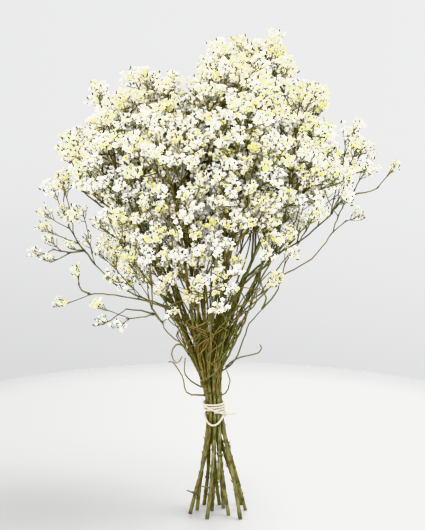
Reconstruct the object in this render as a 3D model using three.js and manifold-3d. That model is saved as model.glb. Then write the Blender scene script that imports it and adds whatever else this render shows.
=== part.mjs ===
// A tied bunch of dried statice, standing on the splayed cut ends of its thirteen stems.
// Millimetres, +Z up. The origin is on the table, straight below the middle of the tie.

import * as THREE from "three";
import { mergeVertices } from "three/addons/utils/BufferGeometryUtils.js";
import Module from "manifold-3d";

const wasm = await Module();
wasm.setup();

// The bunch at its tie: two rings of stems round the axis
const TIE_HEIGHT = 109;
const INNER_STEMS = 3;
const INNER_RING = 2.4;
const INNER_HEADING = -90;
const OUTER_STEMS = 10;
const OUTER_RING = 6.4;
const OUTER_HEADING = 0;

// How the stems splay above and below the tie, and how far they turn round the axis on the way
const HEAD_SPLAY = 0.083;
const HEAD_BEND = 64;
const HEAD_TURN = 50;
const FOOT_SPLAY = 0.0445;
const FOOT_BEND = 25;
const FOOT_TURN = -50;

// How they wave on the way, and from one stem to the next
const HEAD_SWAY = 0.02;
const FOOT_SWAY = 0.045;
const SWAY_LENGTH = 52;
const SWAY_RATIO = 1.3;
const SWAY_PHASE = 2.4;

// How far the bunch leans to the left: per millimetre below the tie, and in all at a height above it
const FOOT_LEAN = 0.065;
const HEAD_LEAN = 7.5;
const LEAN_HEIGHT = 95;

// Stem, branch and flower sizes
const STEM_RADIUS = 1.8;
const STEM_TIP_RADIUS = 0.9;
const STEM_SIDES = 5;
const FOOT_STEP = 27.25;
const WAIST_STEP = 27;
const BRANCHING_HEIGHT = 88;
const SHORT_STEMS = { 3: 38, 5: 47 };
const TIP_SHARE = 0.95;
const BRANCH_SIDES = 3;
const BRANCH_RADIUS = 0.75;
const BRANCH_RADIUS_PER_LENGTH = 0.007;
const TWIG_RADIUS = 0.6;
const FLOWER_LOBES = 5;
const FLOWER_RADIUS = 11.3;
const FLOWER_NOTCH = 0.74;
const FLOWER_NOTCH_RISE = 0.6;
const FLOWER_NECK = 5.2;
const FLOWER_RISE = 3.4;
const FLOWER_DISH = 2.8;
const FLOWER_NOD = 0.42;

// The crown seen from the front: degrees from upright against the reach from the tie
const CROWN = [
  [-36, 280],
  [-31, 309],
  [-24, 320],
  [-20, 348],
  [-16, 341],
  [-12, 346],
  [-8, 338],
  [-4.5, 320],
  [-1, 362],
  [4, 374],
  [8, 380],
  [12, 362],
  [16, 349],
  [20, 330],
  [24, 301],
  [28, 314],
  [33, 280],
];
const CROWN_DEPTH = 28;
const CROWN_DEPTH_DROP = 0.1;

// How far out the flowers begin: degrees from upright against a share of the crown's reach
const CROWN_INSIDE = [
  [-36, 0.5],
  [-26, 0.43],
  [14, 0.43],
  [24, 0.56],
  [33, 0.8],
];
const CROWN_FRONT_INSIDE = 0.09;

// Where no flower is, seen from the front
const BAYS = [
  { x: -140, z: 318, radius: 14, back: 200 },
  { x: -119, z: 309, radius: 14, back: 200 },
  { x: 130, z: 411, radius: 15, back: 200 },
  { x: 31, z: 287, radius: 20, back: 5 },
];
const OUTWARD_BIAS = 0.5;
const DEPTH_DISCOUNT = 0.75;
const FLOWERS = 266;
const FLOWER_GAP = 0.2;
const CANDIDATES = 30;
const SEED = 1025;

// How a branch finds its root
const BRANCH_ANGLE = 0.46;
const BRANCH_ANGLE_SPREAD = 0.42;
const BRANCH_CROWDING = 0.6;
const BRANCH_BOW = 0.22;
const BRANCH_CLEARANCE = 2.4;
const BRANCH_TAPER = 0.9;
const SHORTEST_BRANCH = 7;
const ONE_STEP_BRANCH = 18;
const TWO_STEP_BRANCH = 50;
const FLOWER_WAY = 10.5;

// The widest root that a stem or a branch holds inside it, as a share of its own radius
const STEM_HOLD = 0.75;
const BRANCH_HOLD = 0.5;

// Side shoots that wander out of the crown or curl off the bare stems. Each is a stem's index, then
// the points that the shoot passes, the first of them on the stem or on an earlier shoot of its own.
const WANDERERS = [
  // To the right
  [3, [29, -5, 203], [47, -6, 223], [66, -7, 243], [96, -8, 261], [117, -8, 287], [129, -7, 298]],
  [3, [50, 0, 259], [82, 4, 275], [103, 5, 292], [116, 5, 304], [122, 5, 313], [136, 4, 323]],
  [3, [136, 4, 323], [149, 3, 325], [161, 1, 330]],
  [3, [12, -5, 145], [20, -6, 158], [29, -8, 180], [35, -10, 196], [47, -13, 211]],
  [3, [47, -13, 211], [51, -14, 222], [47, -14, 234], [44, -13, 246]],
  [3, [47, -13, 211], [60, -12, 226], [66, -10, 241], [70, -9, 257]],
  [3, [12, -5, 150], [20, -8, 159], [33, -9, 163], [44, -10, 166], [47, -10, 172], [45, -11, 175]],
  [12, [5, -7, 120], [11, -12, 126], [15, -14, 135], [15, -15, 143], [12, -16, 150]],
  // To the left
  [8, [-38, 3, 203], [-48, 4, 211], [-74, 5, 220], [-94, 5, 230], [-105, 5, 238], [-119, 5, 253]],
  [8, [-119, 5, 253], [-129, 5, 267], [-136, 4, 275], [-140, 3, 284], [-144, 2, 290]],
  [8, [-129, 5, 267], [-144, 4, 265], [-153, 3, 267], [-160, 2, 269]],
  [8, [-38, 2, 199], [-48, -7, 211], [-74, -14, 221], [-109, -23, 228], [-122, -26, 228]],
  [8, [-122, -26, 228], [-130, -27, 232], [-133, -28, 238]],
  [9, [-18, -4, 155], [-25, -13, 168], [-31, -20, 176], [-46, -29, 190], [-51, -32, 201]],
  [9, [-51, -32, 201], [-59, -36, 210], [-68, -37, 208], [-84, -38, 206]],
  [9, [-59, -36, 210], [-71, -38, 214], [-86, -40, 216]],
  [9, [-54, -34, 204], [-61, -40, 217], [-64, -43, 228], [-65, -44, 241]],
  // Tendrils
  [9, [-10, 0, 121], [-18, -3, 122], [-28, -7, 126], [-33, -8, 143], [-41, -9, 156], [-46, -9, 157]],
  [9, [-31, -20, 176], [-38, -22, 177], [-43, -24, 168], [-38, -26, 159], [-32, -27, 166]],
  [10, [-9, -6, 130], [-19, -12, 135], [-27, -17, 143], [-30, -20, 151], [-29, -23, 164]],
  [11, [-4, -9, 124], [-10, -16, 131], [-14, -20, 140], [-6, -23, 144], [3, -23, 151], [6, -22, 158]],
  // Stubs of cut side shoots
  [3, [3, -15, 62], [9, -21, 66]],
  [4, [18, -12, 28], [24, -11, 33]],
  [4, [20, -13, 18], [25, -18, 21]],
  [11, [-22, -6, 22], [-28, -8, 25]],
  [12, [-12, -15, 30], [-14, -21, 33]],
];
const WANDERER_RADIUS = 0.9;
const WANDERER_TIP_RADIUS = 0.5;

// Smaller flowers that those shoots carry past the crown: a stem's index, then the flowers' places
const OUTLYING_FLOWERS = [
  [3, [178, 2, 352], [142, -6, 304], [151, 6, 347], [141, 4, 372], [140, -4, 392]],
  [8, [-148, -3, 309], [-169, 4, 305], [-169, -5, 291], [-164, 4, 279], [-179, 2, 265]],
  [8, [-165, -6, 260], [-146, -5, 275], [-128, 10, 279], [-112, 12, 291], [-103, -20, 243]],
  [8, [-136, -30, 252], [-152, -31, 221], [-112, -18, 268]],
  [9, [-112, -45, 204], [-96, -42, 200], [-113, -46, 221], [-66, -48, 256], [-41, -30, 213]],
  [11, [3, -58, 240], [20, -60, 238], [3, -66, 267], [23, -64, 266]],
  [12, [62, -42, 286]],
];
const OUTLYING_SIZE = 0.75;
const OUTLYING_WAY = 6.5;

// The twine: a coil of three turns, then a turn that crosses in front of it and a slack loop below.
// Starts and ends are in turns past the coil.
const TWINE_RADIUS = 1.05;
const TWINE_SIDES = 5;
const TWINE_STEPS_PER_TURN = 11;
const TWINE_GAP = 0.6;
const TWINE_END = 2.22;
const COIL_TURNS = 3;
const COIL_PITCH = 2.6;
const COIL_REST = 0.6;
const CROSSING_START = 0.7;
const CROSSING_END = 1.25;
const CROSSING_LIFT = 2.6;
const CROSSING_DROP = 12;
const LOOP_START = 1.76;
const LOOP_TURNS = 0.42;
const LOOP_SAG = 9.5;
const LOOP_LIFT = 2.2;
const KNOT_RADIUS = 2.1;
const KNOT_STEPS = 8;
const TAIL_LENGTH = 10;
const TAIL_FORWARD = 3;
const TAIL_RISE = 1.2;
const TAIL_BOW = 1.2;
const TAIL_TAPER = 0.8;
const TAIL_STEPS = 4;

const RADIANS = Math.PI / 180;
const MERGE_DISTANCE = 1e-4;
const TIE = new THREE.Vector3(0, 0, TIE_HEIGHT);
const UP = new THREE.Vector3(0, 0, 1);
const ASKEW = new THREE.Vector3(0.31, 0.74, 0.6);

function randomSource(seed) {
  let state = seed;
  return () => {
    state = (state * 16807) % 2147483647;
    return state / 2147483647;
  };
}

// One ring of stems round the axis; a stem's heading is the direction that its head leans in
function ringOfStems(count, ring, heading) {
  return Array.from({ length: count }, (_, index) => {
    const headAzimuth = (heading + (360 / count) * index) * RADIANS;
    const waistAzimuth = headAzimuth - HEAD_TURN * RADIANS;
    const lean = ring * HEAD_SPLAY;
    return {
      waist: new THREE.Vector2(Math.cos(waistAzimuth) * ring, Math.sin(waistAzimuth) * ring),
      line: new THREE.Vector3(Math.cos(headAzimuth) * lean, Math.sin(headAzimuth) * lean, 1).normalize(),
      phase: ring + index * SWAY_PHASE,
    };
  });
}

const STEMS = [
  ...ringOfStems(INNER_STEMS, INNER_RING, INNER_HEADING),
  ...ringOfStems(OUTER_STEMS, OUTER_RING, OUTER_HEADING),
];

// How the waist is turned and spread about the axis at a height above the tie
function levelAt(height) {
  const above = height >= 0;
  const bend = above ? HEAD_BEND : FOOT_BEND;
  const travel = Math.hypot(height, bend) - bend;
  const spread = travel * (above ? HEAD_SPLAY : FOOT_SPLAY);
  const turn = (above ? HEAD_TURN : FOOT_TURN) * RADIANS;
  const sway = travel * (above ? HEAD_SWAY : FOOT_SWAY);
  return { along: 1 + spread * Math.cos(turn), round: spread * Math.sin(turn), sway };
}

function leanAt(height) {
  if (height < 0) return -FOOT_LEAN * height;
  return -HEAD_LEAN * Math.sin((Math.PI / 2) * Math.min(1, height / LEAN_HEIGHT));
}

// The middle of a stem at a height above the tie. Each level is the same pattern of stems, wider and
// turned, so stems that are clear of each other at the tie never meet.
function stemPoint(stem, height) {
  const { along, round, sway } = levelAt(height);
  const wave = height / SWAY_LENGTH + stem.phase;
  return new THREE.Vector3(
    stem.waist.x * along - stem.waist.y * round + sway * Math.sin(wave) + leanAt(height),
    stem.waist.x * round + stem.waist.y * along + sway * Math.cos(wave * SWAY_RATIO),
    TIE_HEIGHT + height,
  );
}

// Above the bend the stems run as straight lines whose feet meet at this point, and each
// stem keeps to the cell of directions nearest its own, so its flowers stay clear of the others'
const APEX = new THREE.Vector3(
  -HEAD_LEAN,
  0,
  TIE_HEIGHT + HEAD_BEND - Math.cos(HEAD_TURN * RADIANS) / HEAD_SPLAY,
);

function nearestStem(point) {
  const offset = point.clone().sub(APEX);
  let nearest = 0;
  STEMS.forEach((stem, index) => {
    if (offset.dot(stem.line) > offset.dot(STEMS[nearest].line)) nearest = index;
  });
  return nearest;
}

function cellWalls(owner) {
  return STEMS.filter((stem) => stem !== owner).map((stem) => owner.line.clone().sub(stem.line).normalize());
}

STEMS.forEach((stem) => {
  stem.walls = cellWalls(stem);
});

function clearance(stem, point) {
  const offset = point.clone().sub(APEX);
  return Math.min(...stem.walls.map((wall) => offset.dot(wall)));
}

function keepClear(stem, point, margin) {
  const kept = point.clone();
  for (let pass = 0; pass < 4; pass += 1) {
    for (const wall of stem.walls) {
      const room = kept.clone().sub(APEX).dot(wall);
      if (room < margin) kept.addScaledVector(wall, margin - room);
    }
  }
  return kept;
}

// The value at a lean of a table of leans, in degrees seen from the front, and values
function valueAt(table, lean) {
  const next = table.findIndex(([angle]) => angle >= lean);
  if (next <= 0) return table[next < 0 ? table.length - 1 : 0][1];
  const [fromAngle, fromValue] = table[next - 1];
  const [toAngle, toValue] = table[next];
  return THREE.MathUtils.mapLinear(lean, fromAngle, toAngle, fromValue, toValue);
}

function drawHeadPoint(random) {
  let across = 1;
  let deep = 1;
  while (across * across + deep * deep > 1) {
    across = 2 * random() - 1;
    deep = 2 * random() - 1;
  }
  const lean = across < 0 ? -across * CROWN[0][0] : across * CROWN[CROWN.length - 1][0];
  const direction = new THREE.Vector3(
    Math.tan(lean * RADIANS),
    Math.tan(deep * CROWN_DEPTH * RADIANS),
    1,
  ).normalize();
  const inside = valueAt(CROWN_INSIDE, lean) - CROWN_FRONT_INSIDE * Math.max(0, -deep);
  const share = inside + (1 - inside) * Math.pow(random(), OUTWARD_BIAS);
  const reach = valueAt(CROWN, lean) * (1 - CROWN_DEPTH_DROP * deep * deep) * share;
  return direction.multiplyScalar(reach).add(TIE);
}

function inBay(point) {
  return BAYS.some((bay) => point.y < bay.back && Math.hypot(point.x - bay.x, point.z - bay.z) < bay.radius);
}

// A flower faces outwards from the tie, nodding a little by chance
function makeFlower(point, owner, size, random) {
  const nod = new THREE.Vector3(random() - 0.5, random() - 0.5, random() - 0.5);
  nod.multiplyScalar(2 * FLOWER_NOD);
  const axis = point.clone().sub(TIE).normalize().add(nod).normalize();
  const way = size === 1 ? FLOWER_WAY : OUTLYING_WAY;
  return { point, owner, size, axis, way, spin: random() * 2 * Math.PI };
}

// Flowers are placed one after the other, each at the best of several draws: the one furthest from
// the flowers already there, with distance towards the tie counted at half
function placeFlowers(count, random) {
  const margin = Math.hypot(FLOWER_RADIUS, FLOWER_RISE) + FLOWER_GAP;
  const flowers = [];
  while (flowers.length < count) {
    let best = null;
    let bestGap = -1;
    for (let draw = 0; draw < CANDIDATES; draw += 1) {
      const point = drawHeadPoint(random);
      const owner = nearestStem(point);
      if (clearance(STEMS[owner], point) < margin || inBay(point)) continue;
      const outward = point.clone().sub(TIE).normalize();
      let gap = Infinity;
      for (const flower of flowers) {
        const offset = flower.point.clone().sub(point);
        const depth = offset.dot(outward);
        gap = Math.min(gap, offset.lengthSq() - DEPTH_DISCOUNT * depth * depth);
      }
      if (gap > bestGap) {
        bestGap = gap;
        best = { point, owner };
      }
    }
    if (best) flowers.push(makeFlower(best.point, best.owner, 1, random));
  }
  return flowers;
}

// Rings of points are joined in turn to one closed solid. Rings may differ in their number of points.
// Each end is a flat cap, or runs to a point of its own.
function loft(rings, firstTip, lastTip) {
  const points = rings.flat();
  const starts = [];
  rings.reduce((start, ring) => {
    starts.push(start);
    return start + ring.length;
  }, 0);
  const faces = [];
  for (let index = 1; index < rings.length; index += 1) {
    const lower = rings[index - 1].length;
    const upper = rings[index].length;
    const low = (step) => starts[index - 1] + (step % lower);
    const high = (step) => starts[index] + (step % upper);
    let a = 0;
    let b = 0;
    while (a < lower || b < upper) {
      if (b >= upper || (a < lower && (a + 0.5) / lower <= (b + 0.5) / upper)) {
        faces.push(low(a), low(a + 1), high(b));
        a += 1;
      } else {
        faces.push(low(a), high(b + 1), high(b));
        b += 1;
      }
    }
  }
  const close = (start, count, tip, outward) => {
    const fan = (a, b, c) => (outward ? faces.push(a, b, c) : faces.push(a, c, b));
    if (tip) {
      points.push(tip);
      for (let step = 0; step < count; step += 1) {
        fan(points.length - 1, start + step, start + ((step + 1) % count));
      }
    } else {
      for (let step = 1; step < count - 1; step += 1) fan(start, start + step, start + step + 1);
    }
  };
  close(0, rings[0].length, firstTip, false);
  close(starts[rings.length - 1], rings[rings.length - 1].length, lastTip, true);
  const geometry = new THREE.BufferGeometry().setFromPoints(points);
  geometry.setIndex(faces);
  return geometry;
}

function toSolid(geometry) {
  const vertProperties = new Float32Array(geometry.getAttribute("position").array);
  const triVerts = new Uint32Array(geometry.getIndex().array);
  return new wasm.Manifold(new wasm.Mesh({ numProp: 3, vertProperties, triVerts }));
}

// Two directions square to an axis, the first as near as it can be to a given one
function squareTo(axis, near) {
  const side = near.clone().addScaledVector(axis, -near.dot(axis)).normalize();
  return [side, axis.clone().cross(side)];
}

function ringOfPoints(centre, [side, other], radius, count) {
  return Array.from({ length: count }, (_, step) => {
    const angle = (2 * Math.PI * step) / count;
    return centre
      .clone()
      .addScaledVector(side, radius * Math.cos(angle))
      .addScaledVector(other, radius * Math.sin(angle));
  });
}

// The way that a flower's first lobe points
function flowerSide(flower) {
  const [side, other] = squareTo(flower.axis, ASKEW);
  return side.multiplyScalar(Math.cos(flower.spin)).addScaledVector(other, Math.sin(flower.spin));
}

// A flower is a five-lobed funnel on the end of its twig: a star of rim points and a dished middle
function flowerRim(flower) {
  const frame = squareTo(flower.axis, flowerSide(flower));
  const ringAt = (radius, rise) => {
    const centre = flower.point.clone().addScaledVector(flower.axis, rise * flower.size);
    return ringOfPoints(centre, frame, radius * flower.size, 2 * FLOWER_LOBES);
  };
  const lobes = ringAt(FLOWER_RADIUS, FLOWER_RISE);
  const notches = ringAt(FLOWER_RADIUS * FLOWER_NOTCH, FLOWER_RISE + FLOWER_NOTCH_RISE);
  return lobes.map((lobe, step) => (step % 2 === 0 ? lobe : notches[step]));
}

function flowerDish(flower) {
  return flower.point.clone().addScaledVector(flower.axis, (FLOWER_RISE - FLOWER_DISH) * flower.size);
}

function flowerNeck(flower) {
  return flower.point.clone().addScaledVector(flower.axis, -FLOWER_NECK * flower.size);
}

// A shoot is a run of nodes with a direction and a radius at each
function shootNodes(points, radii, hold) {
  return points.map((point, index) => {
    const before = points[Math.max(0, index - 1)];
    const after = points[Math.min(points.length - 1, index + 1)];
    const direction = after.clone().sub(before).normalize();
    return { point, direction, radius: radii(index), branches: 0, hold };
  });
}

// A shoot's solid, ending in a flower if it has one
function shootSolid(nodes, flower, sides) {
  const near = flower ? flowerSide(flower) : ASKEW;
  const rings = nodes.map((node, index) => {
    const last = flower && index === nodes.length - 1;
    return ringOfPoints(node.point, squareTo(last ? flower.axis : node.direction, near), node.radius, sides);
  });
  if (!flower) return loft(rings, null, null);
  return loft([...rings, flowerRim(flower)], null, flowerDish(flower));
}

// A stem's own line: level rings up to its tip, which carries the stem's first flower
function stemLine(stem, random) {
  const short = SHORT_STEMS[STEMS.indexOf(stem)] ?? 0;
  const lean = Math.atan2(stem.line.x, stem.line.z) / RADIANS;
  const tip = valueAt(CROWN, lean) * TIP_SHARE * stem.line.z;
  const heights = [];
  for (let height = -TIE_HEIGHT; height < -1; height += FOOT_STEP) {
    if (height >= short - TIE_HEIGHT) heights.push(height);
  }
  if (short > 0) heights.unshift(short - TIE_HEIGHT);
  const steps = Math.round(tip / WAIST_STEP);
  for (let step = 0; step <= steps; step += 1) heights.push((tip * step) / steps);
  const points = heights.map((height) => stemPoint(stem, height));
  const top = points[points.length - 1];
  const flower = makeFlower(top.clone(), STEMS.indexOf(stem), 1, random);
  points[points.length - 1] = flowerNeck(flower);
  const nodes = shootNodes(points, (index) => {
    const rise = Math.max(0, heights[index]) / tip;
    return THREE.MathUtils.lerp(STEM_RADIUS, STEM_TIP_RADIUS, rise);
  }, STEM_HOLD);
  return { nodes, flower };
}

function stemSolid({ nodes, flower }) {
  const level = [new THREE.Vector3(1, 0, 0), new THREE.Vector3(0, 1, 0)];
  const rings = nodes.map((node) => ringOfPoints(node.point, level, node.radius, STEM_SIDES));
  return loft([...rings, flowerRim(flower)], null, flowerDish(flower));
}

function distanceToRun(point, from, to) {
  return new THREE.Line3(from, to).closestPointToPoint(point, true, new THREE.Vector3()).distanceTo(point);
}

// A branch leaves the node that gives the shortest run at a natural angle, past the flowers
// that are already there
function bestRoot(nodes, end, flowers, way) {
  let best = null;
  let bestCost = Infinity;
  for (const node of nodes) {
    const run = end.clone().sub(node.point);
    const length = run.length();
    if (length < SHORTEST_BRANCH) continue;
    const angle = Math.acos(THREE.MathUtils.clamp(run.dot(node.direction) / length, -1, 1));
    const strain = (angle - BRANCH_ANGLE) / BRANCH_ANGLE_SPREAD;
    const cost = length * (1 + strain * strain + BRANCH_CROWDING * node.branches);
    if (cost > bestCost) continue;
    if (flowers.some((flower) => distanceToRun(flower.point, node.point, end) < way)) continue;
    bestCost = cost;
    best = node;
  }
  return best;
}

// It bows outwards and then up to its flower
function growBranch(stem, root, flower) {
  const end = flowerNeck(flower);
  const run = end.clone().sub(root.point);
  const length = run.length();
  const outward = run.clone().divideScalar(length).addScaledVector(root.direction, -BRANCH_BOW).normalize();
  const knee = keepClear(stem, root.point.clone().addScaledVector(outward, length * 0.5), BRANCH_CLEARANCE);
  const curve = new THREE.QuadraticBezierCurve3(root.point, knee, end);
  const steps = length < ONE_STEP_BRANCH ? 1 : length < TWO_STEP_BRANCH ? 2 : 3;
  const thick = Math.min(root.radius * BRANCH_TAPER, BRANCH_RADIUS + length * BRANCH_RADIUS_PER_LENGTH);
  const held = Math.min(thick, root.radius * root.hold);
  const points = Array.from({ length: steps + 1 }, (_, step) => curve.getPoint(step / steps));
  root.branches += 1;
  const radii = (index) => (index === 0 ? held : THREE.MathUtils.lerp(thick, TWIG_RADIUS, index / steps));
  return shootNodes(points, radii, BRANCH_HOLD);
}

// A wandering shoot starts on whatever of its stem lies nearest to its first point
function wander(path, runs) {
  const [first, ...rest] = path.map((point) => new THREE.Vector3(...point));
  let root = null;
  for (const [from, to] of runs) {
    const point = new THREE.Line3(from.point, to.point).closestPointToPoint(first, true, new THREE.Vector3());
    if (root && root.distanceTo(first) <= point.distanceTo(first)) continue;
    root = point;
    root.held = Math.min(WANDERER_RADIUS, Math.min(from.radius, to.radius) * from.hold);
  }
  const points = [root, ...rest];
  const last = points.length - 1;
  const radii = (index) =>
    index === 0 ? root.held : THREE.MathUtils.lerp(WANDERER_RADIUS, WANDERER_TIP_RADIUS, index / last);
  return shootNodes(points, radii, BRANCH_HOLD);
}

function runsOf(nodes) {
  return nodes.slice(1).map((node, index) => [nodes[index], node]);
}

function buildStem(stem, flowers, random) {
  const line = stemLine(stem, random);
  const solids = [stemSolid(line)];
  const growing = line.nodes.filter((node) => node.point.z >= TIE_HEIGHT + BRANCHING_HEIGHT).slice(0, -1);
  const placed = [line.flower];
  const runs = runsOf(line.nodes);
  for (const [, ...path] of WANDERERS.filter(([owner]) => STEMS[owner] === stem)) {
    const nodes = wander(path, runs);
    solids.push(shootSolid(nodes, null, BRANCH_SIDES));
    runs.push(...runsOf(nodes));
    growing.push(...nodes.slice(1).filter((node) => node.point.z >= TIE_HEIGHT + BRANCHING_HEIGHT));
  }
  const far = (flower) => flower.point.distanceTo(TIE);
  const own = flowers.filter((flower) => STEMS[flower.owner] === stem).sort((a, b) => far(b) - far(a));
  for (const flower of own) {
    const crossed = runs.some(([from, to]) => distanceToRun(flower.point, from.point, to.point) < flower.way);
    const root = crossed ? null : bestRoot(growing, flowerNeck(flower), placed, flower.way);
    if (!root) continue;
    const nodes = growBranch(stem, root, flower);
    solids.push(shootSolid(nodes, flower, BRANCH_SIDES));
    growing.push(...nodes.slice(1, -1));
    placed.push(flower);
    runs.push(...runsOf(nodes));
  }
  return solids;
}

function fuse(geometries) {
  const solid = wasm.Manifold.union(geometries.map(toSolid));
  const mesh = solid.getMesh();
  const geometry = new THREE.BufferGeometry();
  geometry.setAttribute("position", new THREE.BufferAttribute(new Float32Array(mesh.vertProperties), 3));
  geometry.setIndex(new THREE.BufferAttribute(new Uint32Array(mesh.triVerts), 1));
  return geometry;
}

// The twine's own line. It turns clear of the outer stems, starting at the front.
class TwineCurve extends THREE.Curve {
  getPoint(t, target = new THREE.Vector3()) {
    const turn = t * (COIL_TURNS + TWINE_END);
    const past = turn - COIL_TURNS;
    const crossing = THREE.MathUtils.smoothstep(past, CROSSING_START, CROSSING_END);
    const across = (past - CROSSING_START) / (CROSSING_END - CROSSING_START);
    const over = Math.sin(Math.PI * THREE.MathUtils.clamp(across, 0, 1));
    const slack = Math.sin(Math.PI * THREE.MathUtils.clamp((past - LOOP_START) / LOOP_TURNS, 0, 1));
    const angle = (turn - 0.25) * 2 * Math.PI;
    const coil = COIL_PITCH * (Math.min(turn, COIL_TURNS + COIL_REST) - COIL_TURNS / 2);
    const height = coil - CROSSING_DROP * crossing - LOOP_SAG * slack * slack;
    const { along, round, sway } = levelAt(height);
    const bundle = OUTER_RING * Math.hypot(along, round) + sway + STEM_RADIUS;
    const radius = bundle + TWINE_GAP + TWINE_RADIUS + CROSSING_LIFT * over + LOOP_LIFT * slack;
    const x = Math.cos(angle) * radius + leanAt(height);
    return target.set(x, Math.sin(angle) * radius, TIE_HEIGHT + height);
  }
}

function strand(curve, steps, radius) {
  const section = new THREE.Shape(
    Array.from({ length: TWINE_SIDES }, (_, step) => {
      const angle = (2 * Math.PI * step) / TWINE_SIDES;
      return new THREE.Vector2(radius * Math.cos(angle), radius * Math.sin(angle));
    }),
  );
  const geometry = new THREE.ExtrudeGeometry(section, { steps, bevelEnabled: false, extrudePath: curve });
  geometry.deleteAttribute("normal");
  geometry.deleteAttribute("uv");
  return mergeVertices(geometry, MERGE_DISTANCE);
}

function buildTwine() {
  const curve = new TwineCurve();
  const steps = Math.round((COIL_TURNS + TWINE_END) * TWINE_STEPS_PER_TURN);
  const coil = strand(curve, steps, TWINE_RADIUS);
  const end = curve.getPoint(1);
  const outward = new THREE.Vector3(end.x, end.y, 0).normalize();
  const knot = new THREE.TorusGeometry(KNOT_RADIUS, TWINE_RADIUS, TWINE_SIDES, KNOT_STEPS);
  knot.deleteAttribute("normal");
  knot.deleteAttribute("uv");
  const closedKnot = mergeVertices(knot, MERGE_DISTANCE);
  closedKnot.lookAt(outward).translate(end.x, end.y, end.z);
  const start = end.clone().addScaledVector(outward, TWINE_RADIUS);
  const tailEnd = start.clone().add(new THREE.Vector3(TAIL_LENGTH, -TAIL_FORWARD, TAIL_RISE));
  const bow = start.clone().lerp(tailEnd, 0.5).addScaledVector(UP, -TAIL_BOW);
  const tailCurve = new THREE.QuadraticBezierCurve3(start, bow, tailEnd);
  const tail = strand(tailCurve, TAIL_STEPS, TWINE_RADIUS * TAIL_TAPER);
  return fuse([coil, closedKnot, tail]);
}

const random = randomSource(SEED);
const flowers = placeFlowers(FLOWERS, random);
for (const [owner, ...places] of OUTLYING_FLOWERS) {
  for (const place of places) {
    flowers.push(makeFlower(new THREE.Vector3(...place), owner, OUTLYING_SIZE, random));
  }
}
const group = new THREE.Group();
const statice = new THREE.MeshStandardMaterial({ color: 0xe9e6cf, roughness: 0.85, metalness: 0 });
STEMS.forEach((stem, index) => {
  const mesh = new THREE.Mesh(fuse(buildStem(stem, flowers, random)), statice.clone());
  mesh.name = `stem_${String(index + 1).padStart(2, "0")}`;
  group.add(mesh);
});

const twine = new THREE.Mesh(
  buildTwine(),
  new THREE.MeshStandardMaterial({ color: 0xe4dcc3, roughness: 0.9, metalness: 0 }),
);
twine.name = "twine_tie";
group.add(twine);

export default group;
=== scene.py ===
# A tied bunch of dried statice, standing on the splayed cut ends of its thirteen stems.
# The stems, their branches and the places of their flowers follow the rules and the seed of the packed
# solids that they replace. Lengths are millimetres until a mesh is made, which is in metres.

import math
from types import SimpleNamespace

import bpy
import numpy as np
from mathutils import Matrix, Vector


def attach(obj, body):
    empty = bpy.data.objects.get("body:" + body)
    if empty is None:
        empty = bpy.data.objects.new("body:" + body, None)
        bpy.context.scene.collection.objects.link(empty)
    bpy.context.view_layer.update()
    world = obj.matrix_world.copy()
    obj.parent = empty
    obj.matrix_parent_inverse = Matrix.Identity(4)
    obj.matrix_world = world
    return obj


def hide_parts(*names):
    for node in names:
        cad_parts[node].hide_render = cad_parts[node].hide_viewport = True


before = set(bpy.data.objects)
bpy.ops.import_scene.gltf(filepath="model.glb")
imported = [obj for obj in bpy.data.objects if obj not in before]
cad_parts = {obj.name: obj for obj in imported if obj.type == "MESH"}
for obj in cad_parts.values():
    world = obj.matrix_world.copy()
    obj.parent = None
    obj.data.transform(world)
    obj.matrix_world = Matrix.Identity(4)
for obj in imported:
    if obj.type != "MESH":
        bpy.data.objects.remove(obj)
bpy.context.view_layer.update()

MM = 0.001

# The bunch at its tie: two rings of stems round the axis
TIE_HEIGHT = 109
INNER_STEMS, INNER_RING, INNER_HEADING = 3, 2.4, -90
OUTER_STEMS, OUTER_RING, OUTER_HEADING = 10, 6.4, 0

# How the stems splay above and below the tie, and how far they turn round the axis on the way
HEAD_SPLAY, HEAD_BEND, HEAD_TURN, HEAD_SWAY = 0.083, 64, 50, 0.02
FOOT_SPLAY, FOOT_BEND, FOOT_TURN, FOOT_SWAY = 0.0445, 25, -50, 0.045
SWAY_LENGTH, SWAY_SKEW, PHASE_STEP = 52, 1.3, 2.4
# How far the bunch leans to the left: per millimetre below the tie, and in all at a height above it
FOOT_LEAN, HEAD_LEAN, LEAN_HEIGHT = 0.065, 7.5, 95

# Stem, branch and flower-head sizes
STEM_RADIUS, STEM_TIP_RADIUS = 1.8, 0.9
FOOT_STEP, WAIST_STEP = 27.25, 27
BRANCHING_HEIGHT = 88
SHORT_STEMS = {3: 38, 5: 47}
BRANCH_RADIUS, BRANCH_RADIUS_PER_LENGTH, BRANCH_OF_ROOT = 0.75, 0.007, 0.9
TWIG_RADIUS = 0.6
HEAD_RADIUS, HEAD_NECK, HEAD_RISE, HEAD_NOD, HEAD_GAP = 11.3, 5.2, 3.4, 0.42, 0.2

# The crown seen from the front: degrees from upright against the reach from the tie
CROWN = [
    (-36, 280),
    (-31, 309),
    (-24, 320),
    (-20, 348),
    (-16, 341),
    (-12, 346),
    (-8, 338),
    (-4.5, 320),
    (-1, 362),
    (4, 374),
    (8, 380),
    (12, 362),
    (16, 349),
    (20, 330),
    (24, 301),
    (28, 314),
    (33, 280),
]
CROWN_DEPTH, CROWN_DEPTH_DROP = 28, 0.1
# How far down the crown the flowers begin: degrees from upright against a share of its reach
CROWN_INSIDE = [(-36, 0.5), (-26, 0.43), (14, 0.43), (24, 0.56), (33, 0.8)]
CROWN_FRONT_INSIDE = 0.09
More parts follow.
